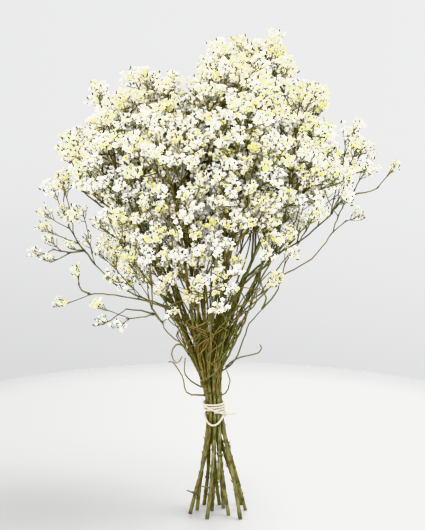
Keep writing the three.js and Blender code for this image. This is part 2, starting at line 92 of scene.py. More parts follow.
# Where no flower is, seen from the front: across, up, radius and how far back
BAYS = [(-140, 318, 14, 200), (-119, 309, 14, 200), (130, 411, 15, 200), (31, 287, 20, 5)]
ALIKE = [(0, 1)]
CROWN_ZONE = SimpleNamespace(inside=CROWN_INSIDE, outside=ALIKE, closeness=ALIKE, bays=BAYS)
# The power that a draw is raised to, which brings heads outwards, how far up the crown a stem's own tip
# is, and how much of the squared distance towards the tie isn't counted between heads
OUTWARD_BIAS, TIP_SHARE, DEPTH_DISCOUNT = 0.5, 0.95, 0.75
HEADS, CANDIDATES, SEED = 266, 30, 1025
# Chance is drawn by multiplying again and again and keeping the rest of a division
DRAW_FACTOR, DRAW_RANGE = 16807, 2147483647

# How a branch finds its root
BRANCH_ANGLE, BRANCH_ANGLE_SPREAD = 0.46, 0.42
BRANCH_CROWDING, BRANCH_BOW, BRANCH_CLEARANCE, CLEARING_PASSES = 0.6, 0.22, 2.4, 4
HEAD_WAY, NEAREST_ROOT = 10.5, 7
# How long a branch is before it is made in two pieces, and in three
TWO_PIECES, THREE_PIECES = 18, 50

# Side shoots that wander out of the crown or curl off the bare stems: a stem's index and the points
# that the shoot passes, the first of them on the stem or on an earlier shoot of its own
WANDERERS = [
    # to the right
    (3, [(29, -5, 203), (47, -6, 223), (66, -7, 243), (96, -8, 261), (117, -8, 287), (129, -7, 298)]),
    (3, [(50, 0, 259), (82, 4, 275), (103, 5, 292), (116, 5, 304), (122, 5, 313), (136, 4, 323)]),
    (3, [(136, 4, 323), (149, 3, 325), (161, 1, 330)]),
    (3, [(12, -5, 145), (20, -6, 158), (29, -8, 180), (35, -10, 196), (47, -13, 211)]),
    (3, [(47, -13, 211), (51, -14, 222), (47, -14, 234), (44, -13, 246)]),
    (3, [(47, -13, 211), (60, -12, 226), (66, -10, 241), (70, -9, 257)]),
    (3, [(12, -5, 150), (20, -8, 159), (33, -9, 163), (44, -10, 166), (47, -10, 172), (45, -11, 175)]),
    (12, [(5, -7, 120), (11, -12, 126), (15, -14, 135), (15, -15, 143), (12, -16, 150)]),
    # to the left
    (8, [(-38, 3, 203), (-48, 4, 211), (-74, 5, 220), (-94, 5, 230), (-105, 5, 238), (-119, 5, 253)]),
    (8, [(-119, 5, 253), (-129, 5, 267), (-136, 4, 275), (-140, 3, 284), (-144, 2, 290)]),
    (8, [(-129, 5, 267), (-144, 4, 265), (-153, 3, 267), (-160, 2, 269)]),
    (8, [(-38, 2, 199), (-48, -7, 211), (-74, -14, 221), (-109, -23, 228), (-122, -26, 228)]),
    (8, [(-122, -26, 228), (-130, -27, 232), (-133, -28, 238)]),
    (9, [(-18, -4, 155), (-25, -13, 168), (-31, -20, 176), (-46, -29, 190), (-51, -32, 201)]),
    (9, [(-51, -32, 201), (-59, -36, 210), (-68, -37, 208), (-84, -38, 206)]),
    (9, [(-59, -36, 210), (-71, -38, 214), (-86, -40, 216)]),
    (9, [(-54, -34, 204), (-61, -40, 217), (-64, -43, 228), (-65, -44, 241)]),
    # tendrils
    (9, [(-10, 0, 121), (-18, -3, 122), (-28, -7, 126), (-33, -8, 143), (-41, -9, 156), (-46, -9, 157)]),
    (9, [(-31, -20, 176), (-38, -22, 177), (-43, -24, 168), (-38, -26, 159), (-32, -27, 166)]),
    (10, [(-9, -6, 130), (-19, -12, 135), (-27, -17, 143), (-30, -20, 151), (-29, -23, 164)]),
    (11, [(-4, -9, 124), (-10, -16, 131), (-14, -20, 140), (-6, -23, 144), (3, -23, 151), (6, -22, 158)]),
    # stubs of cut side shoots
    (3, [(3, -15, 62), (9, -21, 66)]),
    (4, [(18, -12, 28), (24, -11, 33)]),
    (4, [(20, -13, 18), (25, -18, 21)]),
    (11, [(-22, -6, 22), (-28, -8, 25)]),
    (12, [(-12, -15, 30), (-14, -21, 33)]),
]
WANDERER_RADIUS, WANDERER_TIP_RADIUS = 0.9, 0.5

# Flower heads that those shoots carry past the crown
OUTLYING_HEADS = [
    (3, [(178, 2, 352), (142, -6, 304), (151, 6, 347), (141, 4, 372), (140, -4, 392)]),
    (8, [(-148, -3, 309), (-169, 4, 305), (-169, -5, 291), (-164, 4, 279), (-179, 2, 265)]),
    (8, [(-165, -6, 260), (-146, -5, 275), (-128, 10, 279), (-112, 12, 291), (-103, -20, 243)]),
    (8, [(-136, -30, 252), (-152, -31, 221), (-112, -18, 268)]),
    (9, [(-112, -45, 204), (-96, -42, 200), (-113, -46, 221), (-66, -48, 256), (-41, -30, 213)]),
    (11, [(3, -58, 240), (20, -60, 238), (3, -66, 267), (23, -64, 266)]),
    (12, [(62, -42, 286)]),
]
OUTLYING_SIZE, OUTLYING_WAY = 0.75, 6.5

# The twine: a coil of three turns, then a turn that crosses in front of it and a slack loop below
TWINE_RADIUS, TWINE_GAP = 1.05, 0.6
COIL_TURNS, COIL_PITCH, COIL_REST = 3, 2.6, 0.6
CROSSING_START, CROSSING_END, CROSSING_LIFT, CROSSING_DROP = 0.7, 1.25, 2.6, 12
LOOP_START, LOOP_TURNS, LOOP_SAG, LOOP_LIFT = 1.76, 0.42, 9.5, 2.2
TWINE_END = 2.22
KNOT_RADIUS, TAIL_LENGTH, TAIL_FORWARD, TAIL_RISE, TAIL_BOW = 2.1, 10, 3, 1.2, 1.2

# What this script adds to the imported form: stalks that run beside the stems, each for every so many of
# them (how far out, first and last height above the tie), and smaller heads between the others
COMPANIONS = [
    (0.72, 8, 200, 1),
    (1.22, 26, 185, 2),
    (0.45, 14, 170, 2),
    (0.95, 36, 190, 2),
    (1.1, 18, 150, 3),
    (0.3, 22, 160, 3),
]
COMPANION_STEP, COMPANION_LATER, COMPANION_SWAY = 17, 5, 0.045
COMPANION_PHASES, COMPANION_WAVES = (3, 9), (23, 31)
COMPANION_RADIUS, COMPANION_TIP_RADIUS = 1.15, 0.6
FINE_BRANCHING_HEIGHT = 75
# Thin shoots that wind round the bare stems: how many each stem has, where they start and how far they
# run up and round, in millimetres and degrees, and their radii
TANGLES, TANGLE_SEED, TANGLE_STEPS = 6, 71, 9
TANGLE_START, TANGLE_RISE, TANGLE_TURN, TANGLE_WAVE = (8, 85), (24, 80), (15, 80), (0.04, 0.14)
TANGLE_OUT, TANGLE_OUT_SPREAD = 1.05, 0.35
TANGLE_RADIUS, TANGLE_TIP_RADIUS = 0.8, 0.45
TANGLE_BROWN, TANGLE_SHADES = (-0.1, 1.0), (-1.0, 0.3)
FINE_HEADS, FINE_SEED, FINE_MARGIN, FINE_WAY = 980, 977, 4.5, 3.5
FINE_RADIUS, FINE_SMALLEST, FINE_SPREAD, FINE_SLENDER = 9.2, 0.7, 0.5, 0.8
# Where the smaller heads are: how far down they begin, how far out they end and how close they stand,
# each by degrees from upright, and where there are none
FINE_ZONE = SimpleNamespace(
    inside=[(-36, 0.5), (-26, 0.46), (-12, 0.43), (4, 0.45), (14, 0.52), (24, 0.66), (33, 0.84)],
    outside=[(-36, 0.92), (-28, 0.99), (-20, 0.94), (-12, 0.965), (10, 0.965), (22, 0.93), (33, 0.9)],
    closeness=[(-36, 0.5), (-24, 0.75), (-14, 1), (14, 1), (20, 0.7), (33, 0.45)],
    bays=BAYS + [(98, 292, 22, 200), (-110, 297, 20, 200), (-140, 328, 18, 200), (116, 318, 14, 200)],
)

# Florets: about their width, the width that their parts are drawn at, and the spread of their sizes
FLORET_SIZE, TEMPLATE_SIZE, SIZE_SPREAD = 6.1, 5.3, (0.76, 1.16)
CALYX_FOOT_RADIUS, CALYX_RADIUS, CALYX_HEIGHT, CALYX_OPENING = 0.5, 2.62, 3.1, (0.86, 1.1)
# The cup's ridges and folds below its rim, as a radius and a share of its height, and the notches
# between its lobes, as shares of the rim's radius and height
CALYX_RIDGE, CALYX_FOLD, CALYX_NOTCH = (1.75, 0.8), (1.3, 0.74), (0.66, 0.92)
PETAL_LENGTH, PETAL_SPREAD, PETAL_HALF, PETAL_POINT = 1.55, (0.9, 1.5), 0.42, 1.15
THROAT, PETAL_LIFT, PETAL_DROOP = 1.5, 3.15, 0.25
# A scale: the corners of its foot (angle, radius, height), its length, and how far out its tip is, as a
# distance and a share of its length
BRACT_CORNERS, BRACT_LENGTH, BRACT_OUT, BRACT_LEAN = (
    [(-0.9, 0.5, -0.35), (0, 0.72, -0.3), (0.9, 0.5, -0.35)], (1.5, 2.1), 0.62, 0.28
)
# How much of its tone's column of the map a floret takes, and where in it that starts
COLUMN_WIDTH, COLUMN_START = 0.96, 0.02
# How many tones florets come in, which part of the tones has a tint and how strong it is, and how many
# florets have each part
TONES = 16
TINTED_ABOVE, TINT_STRENGTH = 0.72, 0.72
FLOWERING_SPREAD = (0.65, 0.9)
SCALED_SHARE, DRY_TIP_SHARE, SHUT_SHARE = 0.45, 0.5, 0.06
# Florets of the outlying heads: how many more are shut, how much older and how much smaller they are
OUTLYING_SHUT, OUTLYING_AGE, OUTLYING_FLORET = 0.22, 3.0, 0.86
# A full head's branchlets: how far back the last leaves the shoot, how far out the first ends and how
# much further the last, how high they end and how much lower the last, and the turn between them
CYME_BACK, CYME_INNER, CYME_OUTER, CYME_RISE, CYME_FALL, CYME_TURN = 11, 1.5, 8.5, 8.3, 9, 2.4
# A head has the fewest of them, one more above the first of these shares of the full size and two
# more above the second
FEWEST_BRANCHLETS, MIDDLE_HEAD, FULL_HEAD = 5, 0.75, 0.95
# Lengths below which a branchlet carries two and three florets, and how far apart those are
SHORT_BRANCHLET, MIDDLE_BRANCHLET, FLORET_SPACING = 7, 12, 3.6
BUD_RADIUS, BUD_HEIGHT, BUD_PLACES = 0.8, 4.0, (0.0, 2.3, 2.9)
SHAPE_SEED = 40
BROWN_STEMS = (11,)
NODE_REACH = 5.0
TRUNK_SHADES, SHOOT_SHADES, TWIG_SHADE = (-0.7, 0.5), (-1.0, 0.8), -0.5
TRUNK_UNEVEN, SHOOT_UNEVEN, SCAR_SPACING = 0.07, 0.3, 8.0
TRUNK_STEP, SHOOT_STEP, TWIG_STEP = 3.5, 7, 3
TRUNK_SIDES, TRUNK_RIBS, TRUNK_SWELL, SHOOT_SWELL = 10, 0.07, 0.14, 0.2
# Scales on the stalks: the spread of their sizes, and how much larger they are on a stem than at a fork
SCALE_SPREAD, TRUNK_SCALE_SIZE = (1.2, 1.9), 1.4
# How brown the stems are at most, how brown the named ones, and how brown the twigs are beside their stem
STEM_BROWN, BROWNEST, TWIG_BROWN = 0.35, 0.4, 0.6
# The tones of a head: the share of them that its middle tone is drawn from, and the spread about it
AGE_RANGE, AGE_SPREAD = 0.8, 2.2
# The twigs inside a head: their radii, and the millimetres of map round and along each of their sides
TWIG_RADII, TWIG_MAP = (0.45, 0.28), (0.8, 2.5)
KNOT_EVERY = 6
# The twine's yarns: the length of one twist, the step along them, and as shares of the twine's radius
# how far out each is and its own radius; then how many points the coil, the knot and the tail have, how
# thin the tail is, and how the knot starts, laps over its start and lifts
YARN_LAY, YARN_STEP, YARN_PLACE, YARN_WIDTH = 3.4, 0.45, 0.5, 0.56
COIL_POINTS, KNOT_POINTS, TAIL_POINTS, TAIL_WIDTH = 420, 40, 12, 0.8
KNOT_START, KNOT_PAST, KNOT_LIFT = 0.2, 0.9, (-0.3, 0.9)

# Names of the map layers and of the colour marks; a map unit on a stalk is so many millimetres
LINES_MAP, BAKE_MAP = "Lines", "OFBake"
MARKS = "Marks"
MAP_SPAN = 200.0

# Colours, linear
CALYX_FOOT, CALYX_RIM = (0.54, 0.49, 0.17), (0.915, 0.925, 0.95)
CALYX_AGED, CALYX_VEIN, CALYX_LEMON = (0.6, 0.575, 0.49), (0.64, 0.61, 0.56), (0.78, 0.76, 0.4)
COROLLA_FOOT, COROLLA_RIM = (0.46, 0.42, 0.04), (0.68, 0.66, 0.2)
COROLLA_AGED = (0.52, 0.47, 0.08)
BRACT_FOOT, BRACT_TIP, BRACT_AGED = (0.07, 0.06, 0.02), (0.03, 0.022, 0.01), (0.13, 0.1, 0.04)
STALK_SHADE, STALK_GREEN, STALK_LIGHT = (0.019, 0.019, 0.008), (0.1, 0.106, 0.038), (0.33, 0.325, 0.155)
STALK_BROWN, STALK_NODE, STALK_PITH = (0.19, 0.12, 0.045), (0.03, 0.024, 0.012), (0.5, 0.43, 0.26)
TWINE_SHADE, TWINE_LIGHT, TWINE_STAIN = (0.26, 0.235, 0.18), (0.48, 0.45, 0.38), (0.34, 0.3, 0.22)
# The table top's colours carry painted shade: darker on the left, lighter on the right, as the key light
# falls from the right
TABLE_SHADED_LEFT, TABLE_LIT_RIGHT, TABLE_CLOUD = (0.2, 0.2, 0.202), (0.262, 0.262, 0.263), (0.22, 0.22, 0.22)
# Painted shade along the table top's rim
TABLE_EDGE_SHADE = (0.17, 0.17, 0.172)
# The wall that the camera sees carries painted shade: darker on the left than on the right, and darker
# towards its foot
WALL_SHADED_LEFT, WALL_LIT_RIGHT, ROOM_COLOUR = (0.91, 0.912, 0.92), (0.99, 0.992, 1.0), (1.0, 0.995, 0.985)
WALL_SHADE = 0.82

# The studio, in metres except for the table's half width, half depth and middle
TABLE_WIDE, TABLE_DEEP, TABLE_MIDDLE, TABLE_SIDES = 471, 600, 158, 96
# The table's rings past its middle: a share of its half width and a height
TABLE_RINGS = [(1.0, 0.0), (1.004, -1.0), (1.006, -4.0), (1.006, -22.0)]
ROOM_LIGHT, KEY_POWER, FILL_POWER = 2.35, 84.0, 78.0
CAMERA_PLACE, CAMERA_AIM, LENS = (-0.002, -1.75, 0.513), (-0.002, 0, 0.2534), 150.7

UP = np.array([0.0, 0.0, 1.0])
TIE = np.array([0.0, 0.0, TIE_HEIGHT])
SIDEWAYS = np.array([0.31, 0.74, 0.6])


def unit(vector):
    return vector / np.linalg.norm(vector)


def unit_rows(vectors):
    return vectors / np.linalg.norm(vectors, axis=-1, keepdims=True)


def bow_point(start, knee, end, share):
    """A point on the bow that leaves a start towards a knee and comes to an end."""
    return (1 - share) ** 2 * start + 2 * (1 - share) * share * knee + share * share * end


def lengths_along(points):
    return np.concatenate([[0], np.cumsum(np.linalg.norm(np.diff(points, axis=0), axis=1))])


def random_source(seed):
    state = seed

    def draw():
        nonlocal state
        state = state * DRAW_FACTOR % DRAW_RANGE
        return state / DRAW_RANGE

    return draw


# The stems' lines

def ring_of_stems(count, ring, heading):
    """One ring of stems round the axis; a stem's heading is the direction that its head leans in."""
    stems = []
    for index in range(count):
        head = math.radians(heading + 360 / count * index)
        waist = head - math.radians(HEAD_TURN)
        lean = ring * HEAD_SPLAY
        stems.append(
            SimpleNamespace(
                waist=(math.cos(waist) * ring, math.sin(waist) * ring),
                line=unit(np.array([math.cos(head) * lean, math.sin(head) * lean, 1.0])),
                phase=ring + index * PHASE_STEP,
            )
        )
    return stems


STEMS = ring_of_stems(INNER_STEMS, INNER_RING, INNER_HEADING)
STEMS += ring_of_stems(OUTER_STEMS, OUTER_RING, OUTER_HEADING)
STEM_LINES = np.array([stem.line for stem in STEMS])
APEX = np.array([-HEAD_LEAN, 0, TIE_HEIGHT + HEAD_BEND - math.cos(math.radians(HEAD_TURN)) / HEAD_SPLAY])
for stem in STEMS:
    stem.walls = np.array([unit(stem.line - other.line) for other in STEMS if other is not stem])


def level_at(height):
    """How the waist is turned and spread about the axis at a height above the tie."""
    above = height >= 0
    bend = HEAD_BEND if above else FOOT_BEND
    travel = math.hypot(height, bend) - bend
    spread = travel * (HEAD_SPLAY if above else FOOT_SPLAY)
    turn = math.radians(HEAD_TURN if above else FOOT_TURN)
    sway = travel * (HEAD_SWAY if above else FOOT_SWAY)
    return 1 + spread * math.cos(turn), spread * math.sin(turn), sway


def lean_at(height):
    if height < 0:
        return -FOOT_LEAN * height
    return -HEAD_LEAN * math.sin(math.pi / 2 * min(1, height / LEAN_HEIGHT))


def stem_point(stem, height, scale=1.0):
    """The middle of a stem at a height above the tie, or of a shoot that runs beside it."""
    along, around, sway = level_at(height)
    wave = height / SWAY_LENGTH + stem.phase
    x, y = stem.waist[0] * scale, stem.waist[1] * scale
    return np.array([
        x * along - y * around + sway * math.sin(wave) + lean_at(height),
        x * around + y * along + sway * math.cos(wave * SWAY_SKEW),
        TIE_HEIGHT + height,
    ])


def keep_clear(stem, point, margin):
    """Moves a point inside the stem's own share of the crown."""
    kept = point.copy()
    for _ in range(CLEARING_PASSES):
        for wall in stem.walls:
            room = (kept - APEX) @ wall
            if room < margin:
                kept = kept + wall * (margin - room)
    return kept


# Where the flower heads are

def by_lean(lean, values):
    return float(np.interp(lean, *zip(*values)))


def draw_head_point(random, zone):
    across = deep = 1.0
    while across * across + deep * deep > 1:
        across = 2 * random() - 1
        deep = 2 * random() - 1
    lean = -across * CROWN[0][0] if across < 0 else across * CROWN[-1][0]
    direction = unit(
        np.array([math.tan(math.radians(lean)), math.tan(math.radians(deep * CROWN_DEPTH)), 1.0])
    )
    inside = by_lean(lean, zone.inside) - CROWN_FRONT_INSIDE * max(0, -deep)
    share = inside + (by_lean(lean, zone.outside) - inside) * math.pow(random(), OUTWARD_BIAS)
    return TIE + direction * by_lean(lean, CROWN) * (1 - CROWN_DEPTH_DROP * deep * deep) * share


def in_a_bay(point, bays):
    x, y, z = point
    return any(math.hypot(x - across, z - up) < wide and y < back for across, up, wide, back in bays)


def make_head(point, owner, random, radius):
    """A flower head faces outwards from the tie, nodding a little by chance."""
    nod = np.array([random() - 0.5, random() - 0.5, random() - 0.5]) * 2 * HEAD_NOD
    axis = unit(unit(point - TIE) + nod)
    return SimpleNamespace(point=point, owner=owner, axis=axis, spin=random() * 2 * math.pi, radius=radius)


def place_heads(count, random, margin, radius, zone, there=()):
    """Heads are placed one after the other, each at the best of several draws: the one furthest from
    the heads already there, with distance towards the tie counted for less."""
    heads = []
    points = [head.point for head in there]
    while len(heads) < count:
        best, best_gap = None, -1
        for _ in range(CANDIDATES):
            point = draw_head_point(random, zone)
            owner = int(np.argmax(STEM_LINES @ (point - APEX)))
            if (STEMS[owner].walls @ (point - APEX)).min() < margin or in_a_bay(point, zone.bays):
                continue
            gap = math.inf
            if points:
                offsets = np.array(points) - point
                depths = offsets @ unit(point - TIE)
                lean = math.degrees(math.atan2(point[0], point[2] - TIE_HEIGHT))
                gap = ((offsets**2).sum(1) - DEPTH_DISCOUNT * depths**2).min() * by_lean(lean, zone.closeness)
            if gap > best_gap:
                best, best_gap = (point, owner), gap
        if best:
            heads.append(make_head(*best, random, radius))
            points.append(best[0])
    return heads


def neck_of(head):
    return head.point - head.axis * HEAD_NECK * head.radius / HEAD_RADIUS


# The shoots that carry them

def make_nodes(points, radii):
    """A shoot is a run of nodes with a direction and a radius at each."""
    points = list(points)
    before, after = points[:1] + points[:-1], points[1:] + points[-1:]
    return [
        SimpleNamespace(point=point, direction=unit(ahead - behind), radius=radius, branches=0)
        for behind, point, ahead, radius in zip(before, points, after, radii)
    ]


def tapered(points, first, last):
    """A shoot whose radius runs evenly from its first point to its last."""
    return make_nodes(points, np.linspace(first, last, len(points)))


def distance_to_runs(point, starts, ends):
    """How far a point is from each of several straight runs."""
    runs = ends - starts
    shares = np.clip(((point - starts) * runs).sum(1) / (runs**2).sum(1), 0, 1)
    return np.linalg.norm(starts + runs * shares[:, None] - point, axis=1)


def best_root(nodes, end, heads, way):
    """The node that gives the shortest run at a natural angle, past the heads that are already there."""
    points = np.array([node.point for node in nodes])
    runs = end - points
    lengths = np.linalg.norm(runs, axis=1)
    directions = np.array([node.direction for node in nodes])
    angles = np.arccos(np.clip((runs * directions).sum(1) / lengths, -1, 1))
    strain = (angles - BRANCH_ANGLE) / BRANCH_ANGLE_SPREAD
    crowding = BRANCH_CROWDING * np.array([node.branches for node in nodes])
    costs = lengths * (1 + strain * strain + crowding)
    centres = np.array([head.point for head in heads])
    for index in np.argsort(costs, kind="stable"):
        if lengths[index] < NEAREST_ROOT:
            continue
        run = end - points[index]
        shares = np.clip((centres - points[index]) @ run / (run @ run), 0, 1)
        gaps = np.linalg.norm(points[index] + run * shares[:, None] - centres, axis=1)
        if gaps.min() >= way:
            return nodes[index]
    return None


def grow_branch(stem, root, head, slender=1.0):
    """A branch bows outwards and then up to its head."""
    end = neck_of(head)
    run = end - root.point
    length = np.linalg.norm(run)
    outward = unit(run / length - root.direction * BRANCH_BOW)
    knee = keep_clear(stem, root.point + outward * length * 0.5, BRANCH_CLEARANCE)
    steps = 1 + (length >= TWO_PIECES) + (length >= THREE_PIECES)
    thick = min(root.radius * BRANCH_OF_ROOT, (BRANCH_RADIUS + length * BRANCH_RADIUS_PER_LENGTH) * slender)
    root.branches += 1
    shares = np.arange(steps + 1) / steps
    points = [bow_point(root.point, knee, end, t) for t in shares]
    radii = [thick + (TWIG_RADIUS * slender - thick) * t for t in shares]
    return make_nodes(points, radii)


def stem_line(stem, random):
    """A stem's own line, from its cut end up to its tip, which carries the stem's first head."""
    short = SHORT_STEMS.get(STEMS.index(stem), 0)
    lean = math.degrees(math.atan2(stem.line[0], stem.line[2]))
    tip = by_lean(lean, CROWN) * TIP_SHARE * stem.line[2]
    heights = [short - TIE_HEIGHT] if short else []
    height = -TIE_HEIGHT
    while height < -1:
        if height >= short - TIE_HEIGHT:
            heights.append(height)
        height += FOOT_STEP
    steps = math.floor(tip / WAIST_STEP + 0.5)
    heights += [tip * step / steps for step in range(steps + 1)]
    points = [stem_point(stem, height) for height in heights]
    head = make_head(points[-1], STEMS.index(stem), random, HEAD_RADIUS)
    points[-1] = neck_of(head)
    radii = [STEM_RADIUS + (STEM_TIP_RADIUS - STEM_RADIUS) * max(0, height) / tip for height in heights]
    return make_nodes(points, radii), head


def wander(path, starts, ends):
    """A wandering shoot starts on whatever of its stem lies nearest to its first point."""
    first = np.array(path[0], float)
    gaps = distance_to_runs(first, starts, ends)
    nearest = int(np.argmin(gaps))
    run = ends[nearest] - starts[nearest]
    share = min(1, max(0, (first - starts[nearest]) @ run / (run @ run)))
    points = [starts[nearest] + run * share] + [np.array(point, float) for point in path[1:]]
    return tapered(points, WANDERER_RADIUS, WANDERER_TIP_RADIUS)


class Growth:
    """One stem as it grows: its shoots, the nodes that can branch, and the heads it carries."""

    def __init__(self, stem, random):
        self.stem = stem
        nodes, head = stem_line(stem, random)
        head.shoot = nodes
        self.shoots = [nodes]
        self.growing = [node for node in nodes if node.point[2] >= TIE_HEIGHT + BRANCHING_HEIGHT][:-1]
        self.heads = [head]
        self.winding, self.starts, self.ends = [], [], []
        self.add_runs(nodes)

    def add_runs(self, nodes):
        self.starts += [node.point for node in nodes[:-1]]
        self.ends += [node.point for node in nodes[1:]]

    def runs(self):
        return np.array(self.starts), np.array(self.ends)

    def add_side_shoot(self, nodes, height):
        """Adds a shoot that can branch above a height over the tie."""
        self.shoots.append(nodes)
        self.add_runs(nodes)
        self.growing += [node for node in nodes[1:] if node.point[2] >= TIE_HEIGHT + height]

    def add_head(self, head, way, slender=1.0):
        if distance_to_runs(head.point, *self.runs()).min() < way:
            return
        root = best_root(self.growing, neck_of(head), self.heads, way)
        if not root:
            return
        nodes = grow_branch(self.stem, root, head, slender)
        head.shoot = nodes
        self.shoots.append(nodes)
        self.growing += nodes[1:-1]
        self.heads.append(head)
        self.add_runs(nodes)


def nearness(head):
    """Puts the heads furthest from the tie first when they are sorted by it."""
    return -np.linalg.norm(head.point - TIE)


def grow_bunch():
    random = random_source(SEED)
    margin = math.hypot(HEAD_RADIUS, HEAD_RISE) + HEAD_GAP
    heads = place_heads(HEADS, random, margin, HEAD_RADIUS, CROWN_ZONE)
    for owner, points in OUTLYING_HEADS:
        for point in points:
            heads.append(make_head(np.array(point, float), owner, random, HEAD_RADIUS * OUTLYING_SIZE))
    growths = [Growth(stem, random) for stem in STEMS]
    for index, growth in enumerate(growths):
        for owner, path in WANDERERS:
            if owner == index:
                growth.add_side_shoot(wander(path, *growth.runs()), BRANCHING_HEIGHT)
        for head in sorted((head for head in heads if head.owner == index), key=nearness):
            growth.add_head(head, HEAD_WAY if head.radius == HEAD_RADIUS else OUTLYING_WAY)
    kept = [head for growth in growths for head in growth.heads]
    return growths, kept


growths, packed_heads = grow_bunch()


# Finer shoots and smaller heads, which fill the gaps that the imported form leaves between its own

def companion(stem, scale, start, end):
    """The points of a thinner stalk that leaves an outer stem above the tie and runs up beside it."""
    points = []
    for step, height in enumerate(np.arange(start, end, COMPANION_STEP)):
        parting = min(1, step / 2)
        phase = stem.phase * COMPANION_PHASES[0] + scale * COMPANION_PHASES[1]
        waves = [height / wave + phase for wave in COMPANION_WAVES]
        sway = np.array([math.sin(waves[0]), math.cos(waves[1]), 0])
        side = stem_point(stem, height, 1 + (scale - 1) * parting)
        points.append(side + sway * COMPANION_SWAY * height * parting)
    return points


def add_companions(growth, index):
    for scale, start, end, every in COMPANIONS:
        if index % every == 0:
            points = companion(growth.stem, scale, start + COMPANION_LATER * (index % 3), end)
            nodes = tapered(points, COMPANION_RADIUS, COMPANION_TIP_RADIUS)
            growth.add_side_shoot(nodes, FINE_BRANCHING_HEIGHT)


def tangle(stem, random):
    """The points of a thin shoot that leaves a stem and winds up and round the others."""
    start, rise, turn, wave = (
        low + (high - low) * random()
        for low, high in (TANGLE_START, TANGLE_RISE, TANGLE_TURN, TANGLE_WAVE)
    )
    turn *= 1 if random() < 0.5 else -1
    phase, out = 2 * math.pi * random(), TANGLE_OUT + TANGLE_OUT_SPREAD * random()
    points = []
    for share in np.linspace(0, 1, TANGLE_STEPS):
        height = start + rise * share
        angle = math.radians(turn) * share**1.3
        angle += wave * 4 * math.sin(7 * share + phase) * share
        scale = 1 + (out - 1) * min(1, 3 * share) + wave * math.sin(11 * share + phase) * share
        x, y, z = stem_point(stem, height, scale)
        x -= lean_at(height)
        across = x * math.cos(angle) - y * math.sin(angle) + lean_at(height)
        points.append(np.array([across, x * math.sin(angle) + y * math.cos(angle), z]))
    return points


for growth in growths:
    growth.packed_heads = len(growth.heads)
for index, growth in enumerate(growths[INNER_STEMS:]):
    add_companions(growth, index)
tangle_random = random_source(TANGLE_SEED)
for growth in growths[INNER_STEMS:]:
    for _ in range(TANGLES):
        points = tangle(growth.stem, tangle_random)
        growth.winding.append(tapered(points, TANGLE_RADIUS, TANGLE_TIP_RADIUS))
fine_random = random_source(FINE_SEED)
fine_heads = place_heads(FINE_HEADS, fine_random, FINE_MARGIN, FINE_RADIUS, FINE_ZONE, packed_heads)
for head in fine_heads:
    head.radius = FINE_RADIUS * (FINE_SMALLEST + FINE_SPREAD * fine_random())
for head in sorted(fine_heads, key=nearness):
    growths[head.owner].add_head(head, FINE_WAY, FINE_SLENDER)


# Florets: a pleated papery cup of five lobes, with a petal star, a dark scale below and dry tips

def ring(radii, heights, count, rng, loose):
    """One ring of a floret's points, its radii and heights repeated round it and a little uneven."""
    turns = np.arange(count) / count * 2 * math.pi
    turns = turns + rng.normal(0, loose * 0.25, count)
    wide = np.resize(radii, count) * (1 + rng.normal(0, loose, count))
    high = np.resize(heights, count) + rng.normal(0, loose * 1.2, count)
    return np.column_stack([np.cos(turns) * wide, np.sin(turns) * wide, high])


def strip(lower, lower_count, upper, upper_count):
    """Triangles between two rings of the same length, or one of twice the length of the other."""
    faces, around = [], []
    if lower_count == upper_count:
        for k in range(lower_count):
            after = (k + 1) % lower_count
            faces += [(lower + k, lower + after, upper + after), (lower + k, upper + after, upper + k)]
            around += [(k, k + 1, k + 1), (k, k + 1, k)]
        return faces, np.array(around) / lower_count
    for k in range(lower_count):
        after = (k + 1) % lower_count
        here, there = lower + k, lower + after
        first, second, third = upper + 2 * k, upper + 2 * k + 1, upper + (2 * k + 2) % upper_count
        faces += [(here, second, first), (here, there, second), (there, third, second)]
        around += [(k, k + 0.5, k), (k, k + 1, k + 0.5), (k + 1, k + 1, k + 0.5)]
    return faces, np.array(around) / lower_count


def make_template(rings, rng, loose):
    """A floret part from its rings: (radii, heights, count, share of the way up). The map of a corner
    is how far round it is and how far up."""
    radii, heights, counts, shares = zip(*rings)
    points = [ring(*row, rng, loose) for row in zip(radii, heights, counts)]
    levels = np.repeat(np.array(shares, float), counts)
    faces, maps, start = [], [], 0
    for lower, upper in zip(counts, counts[1:]):
        new, around = strip(start, lower, start + lower, upper)
        faces += new
        maps.append(np.stack([around, levels[np.array(new)]], axis=2))
        start += lower
    return SimpleNamespace(points=np.concatenate(points), faces=np.array(faces), maps=np.concatenate(maps))


def calyx_template(rng, plain=False):
    """A pleated cup. A plain one, for the smaller heads, runs straight from its foot to its rim."""
    open_up = rng.uniform(*CALYX_OPENING)
    rim, tall = CALYX_RADIUS * open_up, CALYX_HEIGHT / open_up
    (ridge, ridge_up), (fold, fold_up), (notch, notch_up) = CALYX_RIDGE, CALYX_FOLD, CALYX_NOTCH
    rings = [
        ([CALYX_FOOT_RADIUS], [0], 5, 0),
        ([ridge * open_up, fold * open_up], [tall * ridge_up, tall * fold_up], 10, 0.7),
        ([rim, rim * notch], [tall, tall * notch_up], 10, 1),
    ]
    return make_template(rings[::2] if plain else rings, rng, 0.07)


